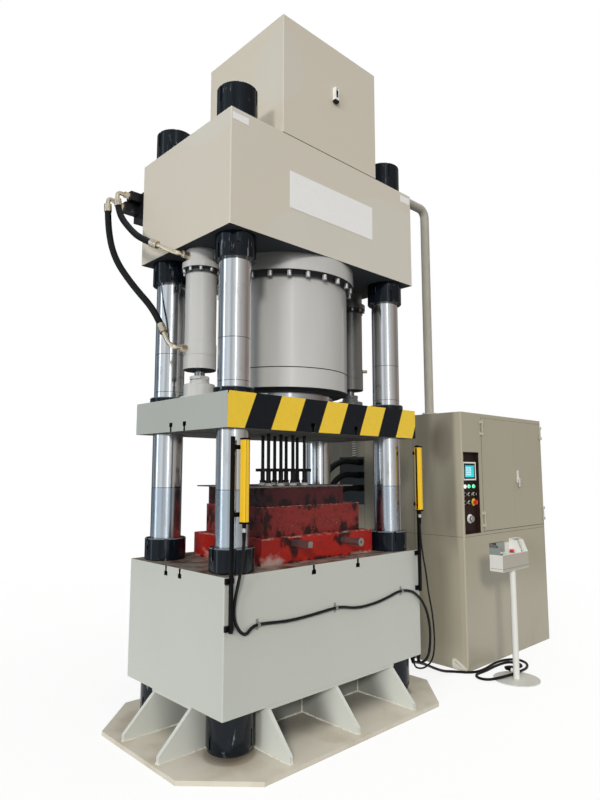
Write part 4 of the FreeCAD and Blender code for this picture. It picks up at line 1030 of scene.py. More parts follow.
MACHINE = BeamEnamel("machine_enamel", (0.615, 0.586, 0.516))
TANK = BeamEnamel("tank_enamel", (0.600, 0.566, 0.490), 0.44)
BASE = BaseEnamel("base_enamel", (0.640, 0.600, 0.505), 0.50)
BED = BedEnamel("bed_enamel", (0.492, 0.512, 0.470))
CABINET = CabinetEnamel("cabinet_enamel", (0.375, 0.346, 0.262), 0.40, grime=0.20, grime_high=0.45)
DESK = DeskEnamel("desk_enamel", (0.66, 0.66, 0.62), 0.40, grime=0.15, grime_high=0.30)
CONDUIT = Metal("galvanised_pipe", (0.455, 0.435, 0.375), 0.46, (1.0, 1.0, 0.10), metallic=0.10)
SLIDE = Hazard("slide_bands", (0.385, 0.410, 0.385))
BARREL = Gloss("barrel_enamel", (0.485, 0.482, 0.466), 0.34, shaded=0.27)
COLUMN = Chrome("column_chrome", (0.78, 0.79, 0.80), worn_below=1.45,
                lines=(1.45, 2.071, 2.323))
RAM = Chrome("ram_chrome", (0.50, 0.51, 0.53), 0.16)
ROD = Chrome("rod_chrome", (0.30, 0.32, 0.34), 0.16)
NUT = Oxide("blued_nuts", (0.003, 0.0055, 0.009), 0.11)
SCREW = Metal("screw_steel", (0.72, 0.72, 0.71), 0.26, EVEN, metallic=0.6)
BRIGHT = Metal("bright_steel", (0.66, 0.66, 0.65), 0.28, EVEN)
CLIP = Metal("clip_steel", (0.30, 0.30, 0.29), 0.34, EVEN, metallic=0.6)
HANDLE = Metal("handle_chrome", (0.86, 0.86, 0.86), 0.26, EVEN, metallic=0.6)
VALVE = Oxide("valve_black", (0.008, 0.008, 0.010), 0.34)
ZINC = Metal("pale_zinc", (0.76, 0.67, 0.52), 0.22, EVEN, rust=0.2)
HOSE = Rubber("hose_cover", (0.004, 0.0045, 0.005))
CABLE = Rubber("cable_cover", (0.004, 0.004, 0.0045), 0.40, 500.0)
PLATED = Fitting("plated_fittings", (0.80, 0.70, 0.54), 0.16, EVEN, rust=0.25)
STEEL = Metal("plain_steel", (0.30, 0.29, 0.28), 0.42, EVEN, rust=0.6)
PINS = Metal("pin_steel", (0.36, 0.35, 0.34), 0.36, EVEN, rust=0.15)
PLATE = Metal("bare_plate", (0.90, 0.90, 0.88), 0.34, (6.0, 1.0, 1.0), metallic=0.0)
TOOLING = Oxide("tooling_black", (0.004, 0.004, 0.0045), 0.22, pale_top=1.478)
BLACK = Plastic("moulded_black", (0.0035, 0.0035, 0.004), 0.40, shine=0.10)
YELLOW = Enamel("bar_yellow", (0.88, 0.545, 0.022), 0.38)
PANEL = Plastic("panel_paint", (0.022, 0.011, 0.009), 0.45, 0.05, 0.12)
GLASS = Display("operator_glass", (0.03, 0.70, 0.78))
GREEN = Lamp("lit_green", (0.02, 0.62, 0.26), 0.24, 1.1)
RED = Plastic("button_red", (0.62, 0.018, 0.018), 0.26, 0.02)
WHITE = Plastic("moulded_white", (0.80, 0.80, 0.77), 0.28, 0.02)
STOP_RING = Plastic("stop_ring_yellow", (0.80, 0.58, 0.03), 0.34, 0.04)
GEAR = Plastic("gear_plastic", (0.34, 0.34, 0.33), 0.45)
SEAM = Plastic("joint_shadow", (0.022, 0.020, 0.017), 0.60, shine=0.1)
LENS = Plastic("lens_black", (0.005, 0.005, 0.006), 0.14, 0.01, 0.25)
OIL = Plastic("gauge_oil", (0.16, 0.05, 0.015), 0.20, 0.01)
RIM = Enamel("pale_trim", (0.66, 0.65, 0.60), 0.38)
HINGE = Enamel("hinge_paint", (0.45, 0.425, 0.35), 0.34)
WELD = Enamel("weld_paint", (0.66, 0.64, 0.57), 0.46)
RED_LIGHT = Lamp("red_light", (0.9, 0.03, 0.02), 0.30)
KEY_PARTS = Trim("key_trim", (0.74, 0.74, 0.72), 0.28)
DIE_LOW = Scorched("die_base_red", (0.38, 0.012, 0.006), 0.42, (
    (-0.250, 1.110, 0.140, 0.095), (-0.215, 1.060, 0.085, 0.070), (0.195, 1.100, 0.130, 0.095),
    (0.245, 1.140, 0.100, 0.050), (0.020, 1.000, 0.110, 0.030)),
    ((-0.400, 1.008, 0.170, 0.075), (0.430, 0.996, 0.150, 0.035)), 0.22, 0.995, 1.150)
DIE_MID = Scorched("die_middle_red", (0.230, 0.024, 0.020), 0.46, (
    (-0.300, 1.160, 0.140, 0.085), (-0.010, 1.172, 0.130, 0.110), (0.300, 1.165, 0.130, 0.095),
    (-0.020, 1.335, 0.190, 0.050), (0.400, 1.320, 0.090, 0.100), (-0.400, 1.250, 0.090, 0.160),
    (0.430, 1.180, 0.070, 0.120)), (), 0.40, 1.150, 1.338)
DIE_TOP = Scorched("die_top_red", (0.066, 0.011, 0.014), 0.50, (
    (-0.260, 1.345, 0.150, 0.085), (-0.030, 1.350, 0.120, 0.080), (0.180, 1.350, 0.140, 0.090),
    (-0.390, 1.400, 0.100, 0.090)), (), 0.60, 1.338, 1.454)

NODE_FINISH: dict[str, Finish] = {
    "base_plate": BASE, "base_ribs": BASE, "bed": BED, "bed_nuts": NUT, "columns": COLUMN,
    "crown": MACHINE, "crown_nuts": NUT, "crown_plates": PLATE, "oil_tank": TANK,
    "main_cylinder": BARREL, "main_gland": BARREL, "main_ram": RAM,
    "cylinder_screws": SCREW, "return_cylinders": BARREL, "return_rods": ROD,
    "rod_couplings": BARREL, "slide": SLIDE, "guide_bushes": NUT, "die_base": DIE_LOW,
    "die_middle": DIE_MID, "die_top": DIE_TOP, "die_cover": STEEL, "die_lifting_pins": PINS,
    "rod_guides": TOOLING, "tool_rods": TOOLING, "valve_block": VALVE, "hose_fittings": PLATED,
    "curtain_posts": BLACK, "curtain_brackets": BLACK,
    "conduit": CONDUIT, "cabinet_base": CABINET,
    "cabinet_shell": CABINET, "cabinet_door_left": CABINET, "cabinet_door_right": CABINET,
    "cabinet_hinges": HINGE, "control_panel": PANEL,
    "operator_screen": GLASS, "panel_fittings": KEY_PARTS, "start_button": GREEN,
    "run_button": GREEN, "stop_button": RED, "mode_switch": BLACK, "pump_switch": BLACK,
    "light_switch": BLACK, "ejector_switch": BLACK, "key_switch": BLACK, "door_handle": HANDLE,
    "electrical_panel": GEAR, "desk_stand": DESK, "desk_box": DESK}


# ------------------------------------------------------------------------------------ mesh making


class Form:
    """A mesh in the making. Each part joins it with the finish that is set at the time."""

    def __init__(self) -> None:
        """Starts an empty mesh."""
        self.mesh = bmesh.new()
        self.index = 0

    def join(self, part: bmesh.types.BMesh) -> None:
        """Adds a part.

        Args:
            part: The part's mesh, which is used up.
        """
        for face in part.faces:
            face.material_index, face.smooth = self.index, True
        data = bpy.data.meshes.new("part")
        part.to_mesh(data)
        part.free()
        self.mesh.from_mesh(data)
        bpy.data.meshes.remove(data)

    def block(self, low: Point, high: Point, edge: float = 0.0, steps: int = 2) -> None:
        """Adds a box with rounded edges.

        Args:
            low: Its lowest corner.
            high: Its highest corner.
            edge: The radius of its edges.
            steps: Faces across each edge.
        """
        part = bmesh.new()
        bmesh.ops.create_cube(part, size=1.0)
        size = Vector(high) - Vector(low)
        bmesh.ops.scale(part, vec=size, verts=part.verts)
        bmesh.ops.translate(part, vec=(Vector(high) + Vector(low)) / 2, verts=part.verts)
        self.soften(part, edge, steps)
        self.join(part)

    def soften(self, part: bmesh.types.BMesh, edge: float, steps: int) -> None:
        """Bevels the sharp edges of a part.

        Args:
            part: The part.
            edge: The bevel's width.
            steps: Faces across it.
        """
        if edge:
            sharp = [e for e in part.edges if e.calc_face_angle(0.0) > 0.35]
            bmesh.ops.bevel(part, geom=sharp, offset=edge, offset_type="OFFSET", segments=steps,
                            profile=0.5, affect="EDGES", clamp_overlap=True, material=-1)

    def turned(self, profile: Sequence[Flat], at: Point = (0.0, 0.0, 0.0), axis: Axis = Axis.Z,
               steps: int = 64, turn: Matrix | None = None) -> None:
        """Adds a closed turned shape.

        Args:
            profile: (radius, height) corners from the bottom of the axis to its top.
            at: Where the profile's origin goes.
            axis: The direction of its heights.
            steps: Faces round it.
            turn: A turn of its own, in place of the axis.
        """
        part = bmesh.new()
        ends = [part.verts.new((radius, 0.0, height)) for radius, height in profile]
        edges = [part.edges.new(two) for two in zip(ends, ends[1:])]
        if profile[0][0] > 0 and profile[-1] != profile[0]:
            edges.append(part.edges.new((ends[-1], ends[0])))
        bmesh.ops.spin(part, geom=[*ends, *edges], cent=(0, 0, 0), axis=(0, 0, 1),
                       angle=math.tau, steps=steps, use_merge=True)
        bmesh.ops.remove_doubles(part, verts=part.verts, dist=1e-6)
        bmesh.ops.recalc_face_normals(part, faces=part.faces)
        bmesh.ops.transform(part, matrix=turn or axis.value, verts=part.verts)
        bmesh.ops.translate(part, vec=at, verts=part.verts)
        self.join(part)

    def prism(self, outline: Sequence[Flat], low: float, high: float, axis: Axis = Axis.Z,
              edge: float = 0.0, steps: int = 2) -> None:
        """Adds an outline drawn out along an axis.

        Args:
            outline: Corners, in the plane across the axis: (x, y), (x, z) or (y, z).
            low: Where it starts along the axis.
            high: Where it ends.
            axis: The axis.
            edge: The radius of its edges.
            steps: Faces across each edge.
        """
        part = bmesh.new()
        place = {Axis.Z: lambda u, v: (u, v, low), Axis.Y: lambda u, v: (u, low, v),
                 Axis.X: lambda u, v: (low, u, v)}[axis]
        way = {Axis.Z: (0, 0, 1), Axis.Y: (0, 1, 0), Axis.X: (1, 0, 0)}[axis]
        face = part.faces.new([part.verts.new(place(u, v)) for u, v in outline])
        made = bmesh.ops.extrude_face_region(part, geom=[face])["geom"]
        moved = [item for item in made if isinstance(item, bmesh.types.BMVert)]
        bmesh.ops.translate(part, vec=Vector(way) * (high - low), verts=moved)
        bmesh.ops.recalc_face_normals(part, faces=part.faces)
        self.soften(part, edge, steps)
        self.join(part)

    def place(self, name: str, finishes: Finish | Sequence[Finish], slot: str,
              body: Body = Body.PRESS, replaces: Sequence[str] = ()) -> bpy.types.Object:
        """Turns the mesh into a piece of the model.

        Args:
            name: The piece's name.
            finishes: Its finish, or one for each index.
            slot: The record's material slot; not used.
            body: The body that it rides on.
            replaces: The CAD nodes that it stands for.

        Returns:
            The object.
        """
        for edge in self.mesh.edges:
            edge.smooth = edge.calc_face_angle(math.pi) < SHARP_TURN
        data = bpy.data.meshes.new(name)
        self.mesh.to_mesh(data)
        self.mesh.free()
        for finish in [finishes] if isinstance(finishes, Finish) else finishes:
            data.materials.append(finish.material())
        made = linked(name, data)
        flat = made.modifiers.new("flat_faces", "WEIGHTED_NORMAL")
        flat.keep_sharp = True
        return settle(made, body, replaces)


def screw_head(radius: float, dome: float, rim: float, deep: float) -> list[Flat]:
    """The (radius, height) corners of a low domed screw head, dome first."""
    return [(0.0, -dome), (radius, -rim), (radius, deep), (0.0, deep)]


def linked(name: str, data: bpy.types.ID) -> bpy.types.Object:
    """Puts new data into the scene.

    Args:
        name: The object's name.
        data: Its mesh, curve, camera or lamp.

    Returns:
        The object.
    """
    made = bpy.data.objects.new(name, data)
    bpy.context.scene.collection.objects.link(made)
    return made


def settle(made: bpy.types.Object, body: Body,
           replaces: Sequence[str]) -> bpy.types.Object:
    """Tells the frame what a new piece is.

    Args:
        made: The piece.
        body: The body that it rides on.
        replaces: The CAD nodes that it stands for.

    Returns:
        The piece.
    """
    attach(made, body.value)
    if replaces:
        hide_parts(*replaces)
    return made


Path = Sequence[tuple[Point, float]]


def tubes(name: str, paths: Sequence[Path], finish: Finish,
          replaces: Sequence[str] = (), ring: int = 6) -> bpy.types.Object:
    """Makes round lines that bend smoothly along paths.

    Args:
        name: The piece's name.
        paths: Each line's control points and its radius at each, in metres.
        finish: Their finish.
        replaces: The CAD nodes that they stand for.
        ring: How finely the lines are round.

    Returns:
        The curve object.
    """
    widest = max(radius for path in paths for _, radius in path)
    curve = bpy.data.curves.new(name, "CURVE")
    curve.dimensions, curve.resolution_u = "3D", 8 if ring > 3 else 2
    curve.bevel_depth, curve.bevel_resolution, curve.use_fill_caps = widest, ring, True
    for path in paths:
        spline = curve.splines.new("NURBS")
        spline.points.add(len(path) - 1)
        for spot, (at, radius) in zip(spline.points, path):
            spot.co, spot.radius = (*at, 1.0), radius / widest
        spline.order_u, spline.use_endpoint_u = 3, True
    curve.materials.append(finish.material())
    made = linked(name, curve)
    return settle(made, Body.PRESS, replaces)


def line(name: str, routes: Sequence[Sequence[Point]], radii: Sequence[float], finish: Finish,
         replaces: Sequence[str] = ()) -> bpy.types.Object:
    """Makes cables or hoses along routes.

    Args:
        name: The piece's name.
        routes: Each line's points, in millimetres.
        radii: Each line's radius in metres.
        finish: Their finish.
        replaces: The CAD nodes that they stand for.

    Returns:
        The curve object.
    """
    paths = [[((x * MM, y * MM, z * MM), radius) for x, y, z in route]
             for route, radius in zip(routes, radii)]
    return tubes(name, paths, finish, replaces)


def beads(name: str, runs: Sequence[tuple[Point, Point]], size: float, finish: Finish) -> bpy.types.Object:
    """Lays uneven weld beads along straight runs.

    Args:
        name: The piece's name.
        runs: The first and last point of each bead.
        size: The bead's usual radius.
        finish: Its finish.

    Returns:
        The curve object.
    """
    draw = random.Random(11)
    paths = []
    for start, end in runs:
        way = Vector(end) - Vector(start)
        steps = max(2, int(way.length / (size * 1.7)))
        path = []
        for i in range(steps + 1):
            at = Vector(start) + way * (i / steps)
            at += Vector([draw.uniform(-0.28, 0.28) * size for _ in range(3)])
            path.append((tuple(at), size * draw.uniform(0.45, 1.30)))
        paths.append(path)
    return tubes(name, paths, finish, ring=1)


# ----------------------------------------------------------------------------- camera and studio


@dataclass
class Studio:
    """The camera of the photograph, a pale floor and soft light.

    The gleams are the bright strips of a hall that polished metal mirrors, as (azimuth, width),
    and the bays are the hall's tones round the sky, as (azimuth, colour), all in degrees.
    """

    camera_at: Point = (-2.8401, -3.1695, 1.55)
    camera_pitch: float = 6.7438
    camera_yaw: float = -43.4527
    lens: float = 27.355
    floor_half: float = 6.0
    floor_grey: float = 0.22
    floor_glow: float = 0.79
    sky: float = 0.44
    ground: float = 0.08
    lamps: Sequence[tuple[str, Point, float, float, Colour]] = (
        ("key_lamp", (-0.755, -0.656, 0.40), 1.72, 9.0, (1.0, 0.965, 0.905)),
        ("right_lamp", (0.86, -0.50, 0.06), 0.42, 30.0, (1.0, 0.95, 0.88)),
        ("side_lamp", (-0.955, -0.296, 0.12), 1.10, 12.0, (0.97, 1.0, 1.02)),
        ("roof_lamp", (0.10, -0.30, 1.0), 0.85, 70.0, (1.0, 0.99, 0.97)))
    gleams: Sequence[Flat] = ((155.0, 4.0), (-117.0, 3.0))
    gleam_power: float = 2.5
    bays: Sequence[tuple[float, Colour]] = (
        (-180, (0.68, 0.75, 0.80)), (-166, (0.80, 0.85, 0.88)), (-158, (0.60, 0.64, 0.67)),
        (-150, (0.46, 0.48, 0.50)), (-136, (0.62, 0.65, 0.67)), (-120, (0.90, 0.92, 0.94)),
        (-104, (0.76, 0.78, 0.78)), (-92, (0.54, 0.54, 0.53)), (-79, (0.46, 0.44, 0.42)),
        (-63, (0.38, 0.35, 0.33)), (-46, (0.29, 0.25, 0.22)), (-33, (0.23, 0.18, 0.155)),
        (-7, (0.36, 0.33, 0.31)), (20, (0.12, 0.11, 0.11)), (55, (0.05, 0.055, 0.06)),
        (88, (0.06, 0.07, 0.08)), (112, (0.30, 0.34, 0.38)), (130, (0.10, 0.13, 0.16)),
        (142, (0.30, 0.36, 0.41)), (152, (0.80, 0.88, 0.95)), (165, (0.66, 0.73, 0.79)),
        (180, (0.68, 0.75, 0.80)))

    def build(self) -> None:
        """Sets the scene's camera, world, floor and lamps."""
        self.camera()
        self.floor()
        self.world()
        for lamp in self.lamps:
            self.sun(*lamp)
        bpy.context.scene.view_settings.view_transform = "Standard"

    def camera(self) -> None:
        """Makes the camera at the photograph's place and angle."""
        data = bpy.data.cameras.new("photo_camera")
        data.lens, data.sensor_width = self.lens, 36.0
        data.clip_start, data.clip_end = 0.05, 200.0
        camera = linked("photo_camera", data)
        camera.location = self.camera_at
        camera.rotation_euler = (math.radians(90 + self.camera_pitch), 0.0,
                                 math.radians(self.camera_yaw))
        bpy.context.scene.camera = camera

    def seen(self, nodes: Nodes) -> Value:
        """1 for rays that see the background: from the camera, a mirror or glass."""
        rays = [nodes.take("ShaderNodeLightPath", output=f"Is {kind} Ray")
                for kind in ("Camera", "Glossy", "Transmission")]
        return rays[0].either(rays[1]).either(rays[2])

    def floor(self) -> None:
        """Makes the pale floor, which shows white outside the shadow."""
        part = bmesh.new()
        bmesh.ops.create_grid(part, x_segments=1, y_segments=1, size=self.floor_half)
        data = bpy.data.meshes.new("studio_floor")
        part.to_mesh(data)
        part.free()
        shader = Shader("floor_paper")
        data.materials.append(shader.finish({
            "Base Color": (self.floor_grey,) * 3, "Roughness": 0.9, "Specular IOR Level": 0.0,
            "Emission Color": shader.mix(DARK, (self.floor_glow,) * 3, self.seen(shader)),
            "Emission Strength": 1.0}))
        floor = linked("studio_floor", data)

    def world(self) -> None:
        """Makes a plain sky, white where it is seen, with the dark bays of a hall for mirrors."""
        world = bpy.data.worlds.new("studio_sky")
        world.use_nodes = True
        bpy.context.scene.world = world
        nodes = Nodes(world.node_tree)
        x, y, z = nodes.parts(nodes.take("ShaderNodeTexCoord", output="Generated"))
        turn = y.math("ARCTAN2", x) / math.tau + 0.5
        hall = nodes.take("ShaderNodeValToRGB", {"stops": [
            ((angle + 180) / 360, colour) for angle, colour in self.bays]}, {0: turn}, "Color")
        roof = nodes.mix(hall, (0.60, 0.62, 0.64), z.ramp(0.55, 0.95))
        glossy = nodes.take("ShaderNodeLightPath", output="Is Glossy Ray")
        background = nodes.mix((1.0, 1.0, 1.0), roof, glossy)
        soft = nodes.mix((self.ground,) * 3, (self.sky, self.sky * 1.01, self.sky * 1.04),
                         z.ramp(-0.12, 0.22))
        tone = nodes.mix(soft, background, self.seen(nodes))
        gleams = None
        for angle, wide in self.gleams:
            place = (angle + 180) / 360
            strip = abs(turn - place).ramp(wide / 360, wide / 720)
            gleams = strip if gleams is None else gleams.either(strip)
        lit = gleams * glossy * abs(z).ramp(0.55, 0.45) * self.gleam_power + 1.0
        sky = nodes.take("ShaderNodeBackground", sockets={"Color": tone, "Strength": lit})
        nodes.node("ShaderNodeOutputWorld", sockets={"Surface": sky})

    def sun(self, name: str, at: Point, power: float, spread: float, colour: Colour) -> None:
        """Adds a large far lamp.

        Args:
            name: Its name.
            at: The direction that it shines from.
            power: Its strength in watts a square metre.
            spread: How wide it looks, in degrees.
            colour: Its colour.
        """
        data = bpy.data.lights.new(name, "SUN")
        data.energy, data.color, data.angle = power, colour, math.radians(spread)
        lamp = linked(name, data)
        lamp.location, lamp.visible_glossy = Vector(at) * 10.0, False
        lamp.rotation_euler = (-Vector(at)).to_track_quat("-Z", "Y").to_euler()


# ------------------------------------------------------------------------------ cords and hoses


@dataclass
class Lines:
    """The cables and hoses, each on the route of its solid."""

    desk_route: Sequence[Point] = (
        (846, -440, 256), (846, -440, 200), (926, -405, 184), (1070, -385, 135), (1225, -380, 65),
        (1335, -380, 24), (1410, -400, 12), (1505, -535, 11), (1660, -548, 11), (1830, -518, 11.5),
        (1980, -530, 11), (2075, -600, 11.5), (2035, -702, 11), (1915, -762, 12), (1780, -778, 21),
        (1640, -765, 21), (1520, -745, 21.5), (1436, -698, 13), (1418, -622, 11),
        (1474, -562, 11.5), (1620, -573, 11), (1770, -562, 11.5), (1940, -572, 11),
        (1981, -642, 11.5), (1940, -712, 11), (1850, -712, 16), (1750, -708, 45),
        (1634, -708, 62), (1634, -773, 62))
    left_route: Sequence[Point] = (
        (-790, -573, 1212), (-790, -573, 1140), (-797, -551, 1000), (-812, -521, 860),
        (-806, -517, 752), (-735, -517, 672), (-680, -517, 722), (-600, -517, 722),
        (-430, -517, 705), (-240, -517, 708), (-70, -517, 719), (30, -517, 719), (160, -517, 690),
        (330, -517, 690), (490, -517, 712), (590, -517, 735), (690, -517, 735), (800, -517, 702),
        (905, -523, 600), (944, -533, 450), (928, -539, 310), (908, -525, 228), (846, -495, 204),
        (846, -495, 256))
    right_route: Sequence[Point] = (
        (790, -573, 1212), (790, -573, 1130), (826, -565, 970), (878, -555, 830),
        (925, -537, 690), (958, -541, 560), (968, -547, 440), (955, -559, 315), (930, -555, 225),
        (880, -530, 180), (830, -502, 178), (800, -487, 205), (800, -487, 256))
    long_hose: Sequence[Point] = (
        (-1066, 603, 3306), (-1066, 587, 3157), (-1045, 515, 2950), (-985, 360, 2745),
        (-920, 199, 2569), (-916, 128, 2462))
    short_hose: Sequence[Point] = (
        (-1016, 556, 3348), (-1011, 543, 3280), (-1002, 400, 3140), (-1009, 254, 3037),
        (-976, 170, 2993))
    supply_ways: Sequence[Sequence[Point]] = (
        ((1425, 612, 1640), (1335, 617, 1649), (1242, 621, 1636), (1154, 625, 1597),
         (1080, 628, 1535), (1022, 630, 1458), (968, 630, 1351), (931, 628, 1237),
         (897, 625, 1110), (866, 620, 985), (820, 614, 893), (747, 606, 832)),
        ((1425, 612, 1520), (1345, 617, 1527), (1266, 621, 1513), (1196, 625, 1473),
         (1140, 628, 1413), (1092, 630, 1330), (1042, 630, 1225), (1003, 628, 1109),
         (967, 625, 979), (936, 620, 851), (890, 614, 756), (817, 606, 693)),
        ((1425, 612, 1400), (1348, 617, 1404), (1274, 621, 1386), (1213, 625, 1343),
         (1166, 628, 1282), (1134, 630, 1205), (1102, 630, 1095), (1070, 628, 975),
         (1037, 625, 848), (1006, 620, 717), (960, 614, 619), (887, 606, 554)))

    def build(self) -> None:
        desk = line("desk_cord", [self.desk_route], [0.010], CABLE,
                    ["desk_cable"])
        self.long(desk)
        line("curtain_lines", [self.left_route, self.right_route], [0.009, 0.006], CABLE,
             ["curtain_cables"])
        supplies = [[(1485, 612, 1640 - 120 * i), *way, (655 + 70 * i, 600, 800 - 140 * i),
                     (560 + 70 * i, 600, 800 - 140 * i)] for i, way in enumerate(self.supply_ways)]
        line("oil_hoses", [self.long_hose, self.short_hose, *supplies],
             [0.0215, 0.0215, 0.027, 0.027, 0.027], HOSE, ["hydraulic_hoses"])

    def long(self, made: bpy.types.Object) -> float:
        """The length of a curve's first line, in metres."""
        return made.data.splines[0].calc_length()


@dataclass
class Cylinders:
    """Seam lines of the main cylinder, and weld rings of it and the two beside it."""

    radius: float = 0.450
    flange_low: float = 2.837
    seams: Sequence[float] = (2.0825, 2.2130, 2.2155)
    side_x: float = 0.705
    side_radius: float = 0.0985
    side_flange: float = 2.824

    def build(self) -> None:
        """Makes the rings."""
        rings = Form()
        for height in self.seams:
            self.ring(rings, height, 0.0016, 0.0006)
        rings.place("barrel_seams", SEAM, "silver_paint")
        welds = Form()
        welds.turned([(self.radius - 0.004, self.flange_low + 0.004),
                      (self.radius - 0.004, self.flange_low - 0.016),
                      (self.radius + 0.003, self.flange_low - 0.012),
                      (self.radius + 0.013, self.flange_low - 0.001),
                      (self.radius + 0.013, self.flange_low + 0.004)], steps=128)
        for x in (-self.side_x, self.side_x):
            welds.turned([(self.side_radius - 0.002, self.side_flange),
                          (self.side_radius - 0.002, self.side_flange - 0.012),
                          (self.side_radius + 0.003, self.side_flange - 0.009),
                          (self.side_radius + 0.009, self.side_flange)], (x, 0.0, 0.0))
        welds.place("flange_welds", BARREL, "silver_paint")

    def ring(self, form: Form, height: float, half: float, proud: float) -> None:
        """Adds a fine line round the barrel.

        Args:
            form: The mesh that it joins.
            height: The line's height.
            half: Half of its width.
            proud: How far it stands out.
        """
        form.turned([(self.radius - 0.003, height - half), (self.radius + proud, height - half),
                     (self.radius + proud, height + half), (self.radius - 0.003, height + half)],
                    steps=128)


@dataclass
class Ferrules:
    """Crimped ferrules on the ends of the hoses."""

    ends: Sequence[tuple[Point, Point, float]] = (
        ((-1.020, 0.566, 3.400), (-1.016, 0.556, 3.348), 0.0246),
        ((-0.976, 0.170, 2.993), (-0.957, 0.122, 2.968), 0.0246),
        ((-1.066, 0.609, 3.362), (-1.066, 0.603, 3.306), 0.0246),
        ((-0.916, 0.128, 2.462), (-0.914, 0.092, 2.408), 0.0246),
        ((1.517, 0.612, 1.640), (1.485, 0.612, 1.640), 0.0303),
        ((1.517, 0.612, 1.520), (1.485, 0.612, 1.520), 0.0303),
        ((1.517, 0.612, 1.400), (1.485, 0.612, 1.400), 0.0303),
        ((0.526, 0.600, 0.800), (0.560, 0.600, 0.800), 0.0303),
        ((0.596, 0.600, 0.660), (0.630, 0.600, 0.660), 0.0303),
        ((0.666, 0.600, 0.520), (0.700, 0.600, 0.520), 0.0303))
    pitch: float = 0.008
    ridge: float = 0.0008
    groove: float = 0.0002
    ridge_from: float = 0.0012
    ridge_to: float = 0.0052
    groove_at: float = 0.0066
    black_past_x: float = 1.5

    def build(self) -> None:
        """Makes every ferrule, black where it enters the cabinet's port plate."""
        form = Form()
        for start, end, radius in self.ends:
            way = Vector(end) - Vector(start)
            turn = way.to_track_quat("Z", "Y").to_matrix().to_4x4()
            profile = [(0.0, 0.0), (radius, 0.0)]
            for i in range(int(way.length / self.pitch)):
                low = i * self.pitch
                profile += [(radius + self.ridge, low + self.ridge_from),
                            (radius + self.ridge, low + self.ridge_to),
                            (radius + self.groove, low + self.groove_at)]
            profile += [(radius, way.length), (0.0, way.length)]
            form.index = int(start[0] > self.black_past_x)
            form.turned(profile, start, steps=32, turn=turn)
        form.place("hose_ferrules", [ZINC, BLACK], "zinc_gold")


@dataclass
class Curtains:
    """The two light curtain bars with their lens strips, painted groove shade lines, caps, plugs and lamp.
    """

    bar_x: float = 0.790
    bar_y: float = -0.573
    half_x: float = 0.015
    half_y: float = 0.022
    low: float = 1.283
    high: float = 1.724
    cap: float = 0.009

    def build(self) -> None:
        """Makes the bars, their dark strips, caps and plugs, and the lamp."""
        bars, strips, caps, plugs = Form(), Form(), Form(), Form()
        for side in (-1.0, 1.0):
            x, y = side * self.bar_x, self.bar_y
            bars.block((x - self.half_x, y - self.half_y, self.low),
                       (x + self.half_x, y + self.half_y, self.high), 0.0035, 3)
            inner = x - side * self.half_x
            strips.block((min(inner, inner - side * 0.0008), y + 0.001, self.low + 0.004),
                         (max(inner, inner - side * 0.0008), y + 0.016, self.high - 0.004))
            # painted shade: a thin black strip on the front stands for the shade in the bar's groove
            strips.block((x + side * 0.0085 - 0.0006, y - self.half_y - 0.0004, self.low + 0.002),
                         (x + side * 0.0085 + 0.0006, y - self.half_y + 0.001, self.high - 0.002))
            for low in (self.low - self.cap, self.high):
                caps.block((x - 0.016, y - 0.023, low), (x + 0.016, y + 0.023, low + self.cap),
                           0.003, 2)
            for corner in (-0.0155, 0.0155):
                plugs.turned([(0.0, 0.0), (0.0026, 0.0), (0.0026, 0.0012), (0.0, 0.0018)],
                             (x, y + corner, self.high + self.cap - 0.0004), steps=12)
            plugs.turned([(0.0, 1.2300), (0.0112, 1.2300), (0.0122, 1.2312), (0.0122, 1.2505),
                          (0.0108, 1.2520), (0.0108, 1.2740), (0.0, 1.2740)], (x, y, 0.0),
                         steps=24)
            caps.turned([(0.0, 1.1850), (0.0095, 1.1850), (0.0106, 1.2120), (0.0106, 1.2300),
                         (0.0, 1.2300)], (x, y, 0.0), steps=24)
        bars.place("curtain_bars", YELLOW, "curtain_yellow", replaces=["curtain_housings"])
        strips.place("curtain_lenses_and_groove_shade", LENS, "black_plastic")
        caps.place("curtain_caps", BLACK, "black_plastic")
        plugs.place("curtain_plugs", BRIGHT, "bare_steel")
        lamp = Form()
        lamp.turned([(0.0, 0.0), (0.0030, 0.0), (0.0026, 0.0010), (0.0, 0.0016)],
                    (self.bar_x - self.half_x - 0.0022, self.bar_y, self.low + 0.016), Axis.X, 16)
        lamp.place("curtain_lamp", RED_LIGHT, "red_key")


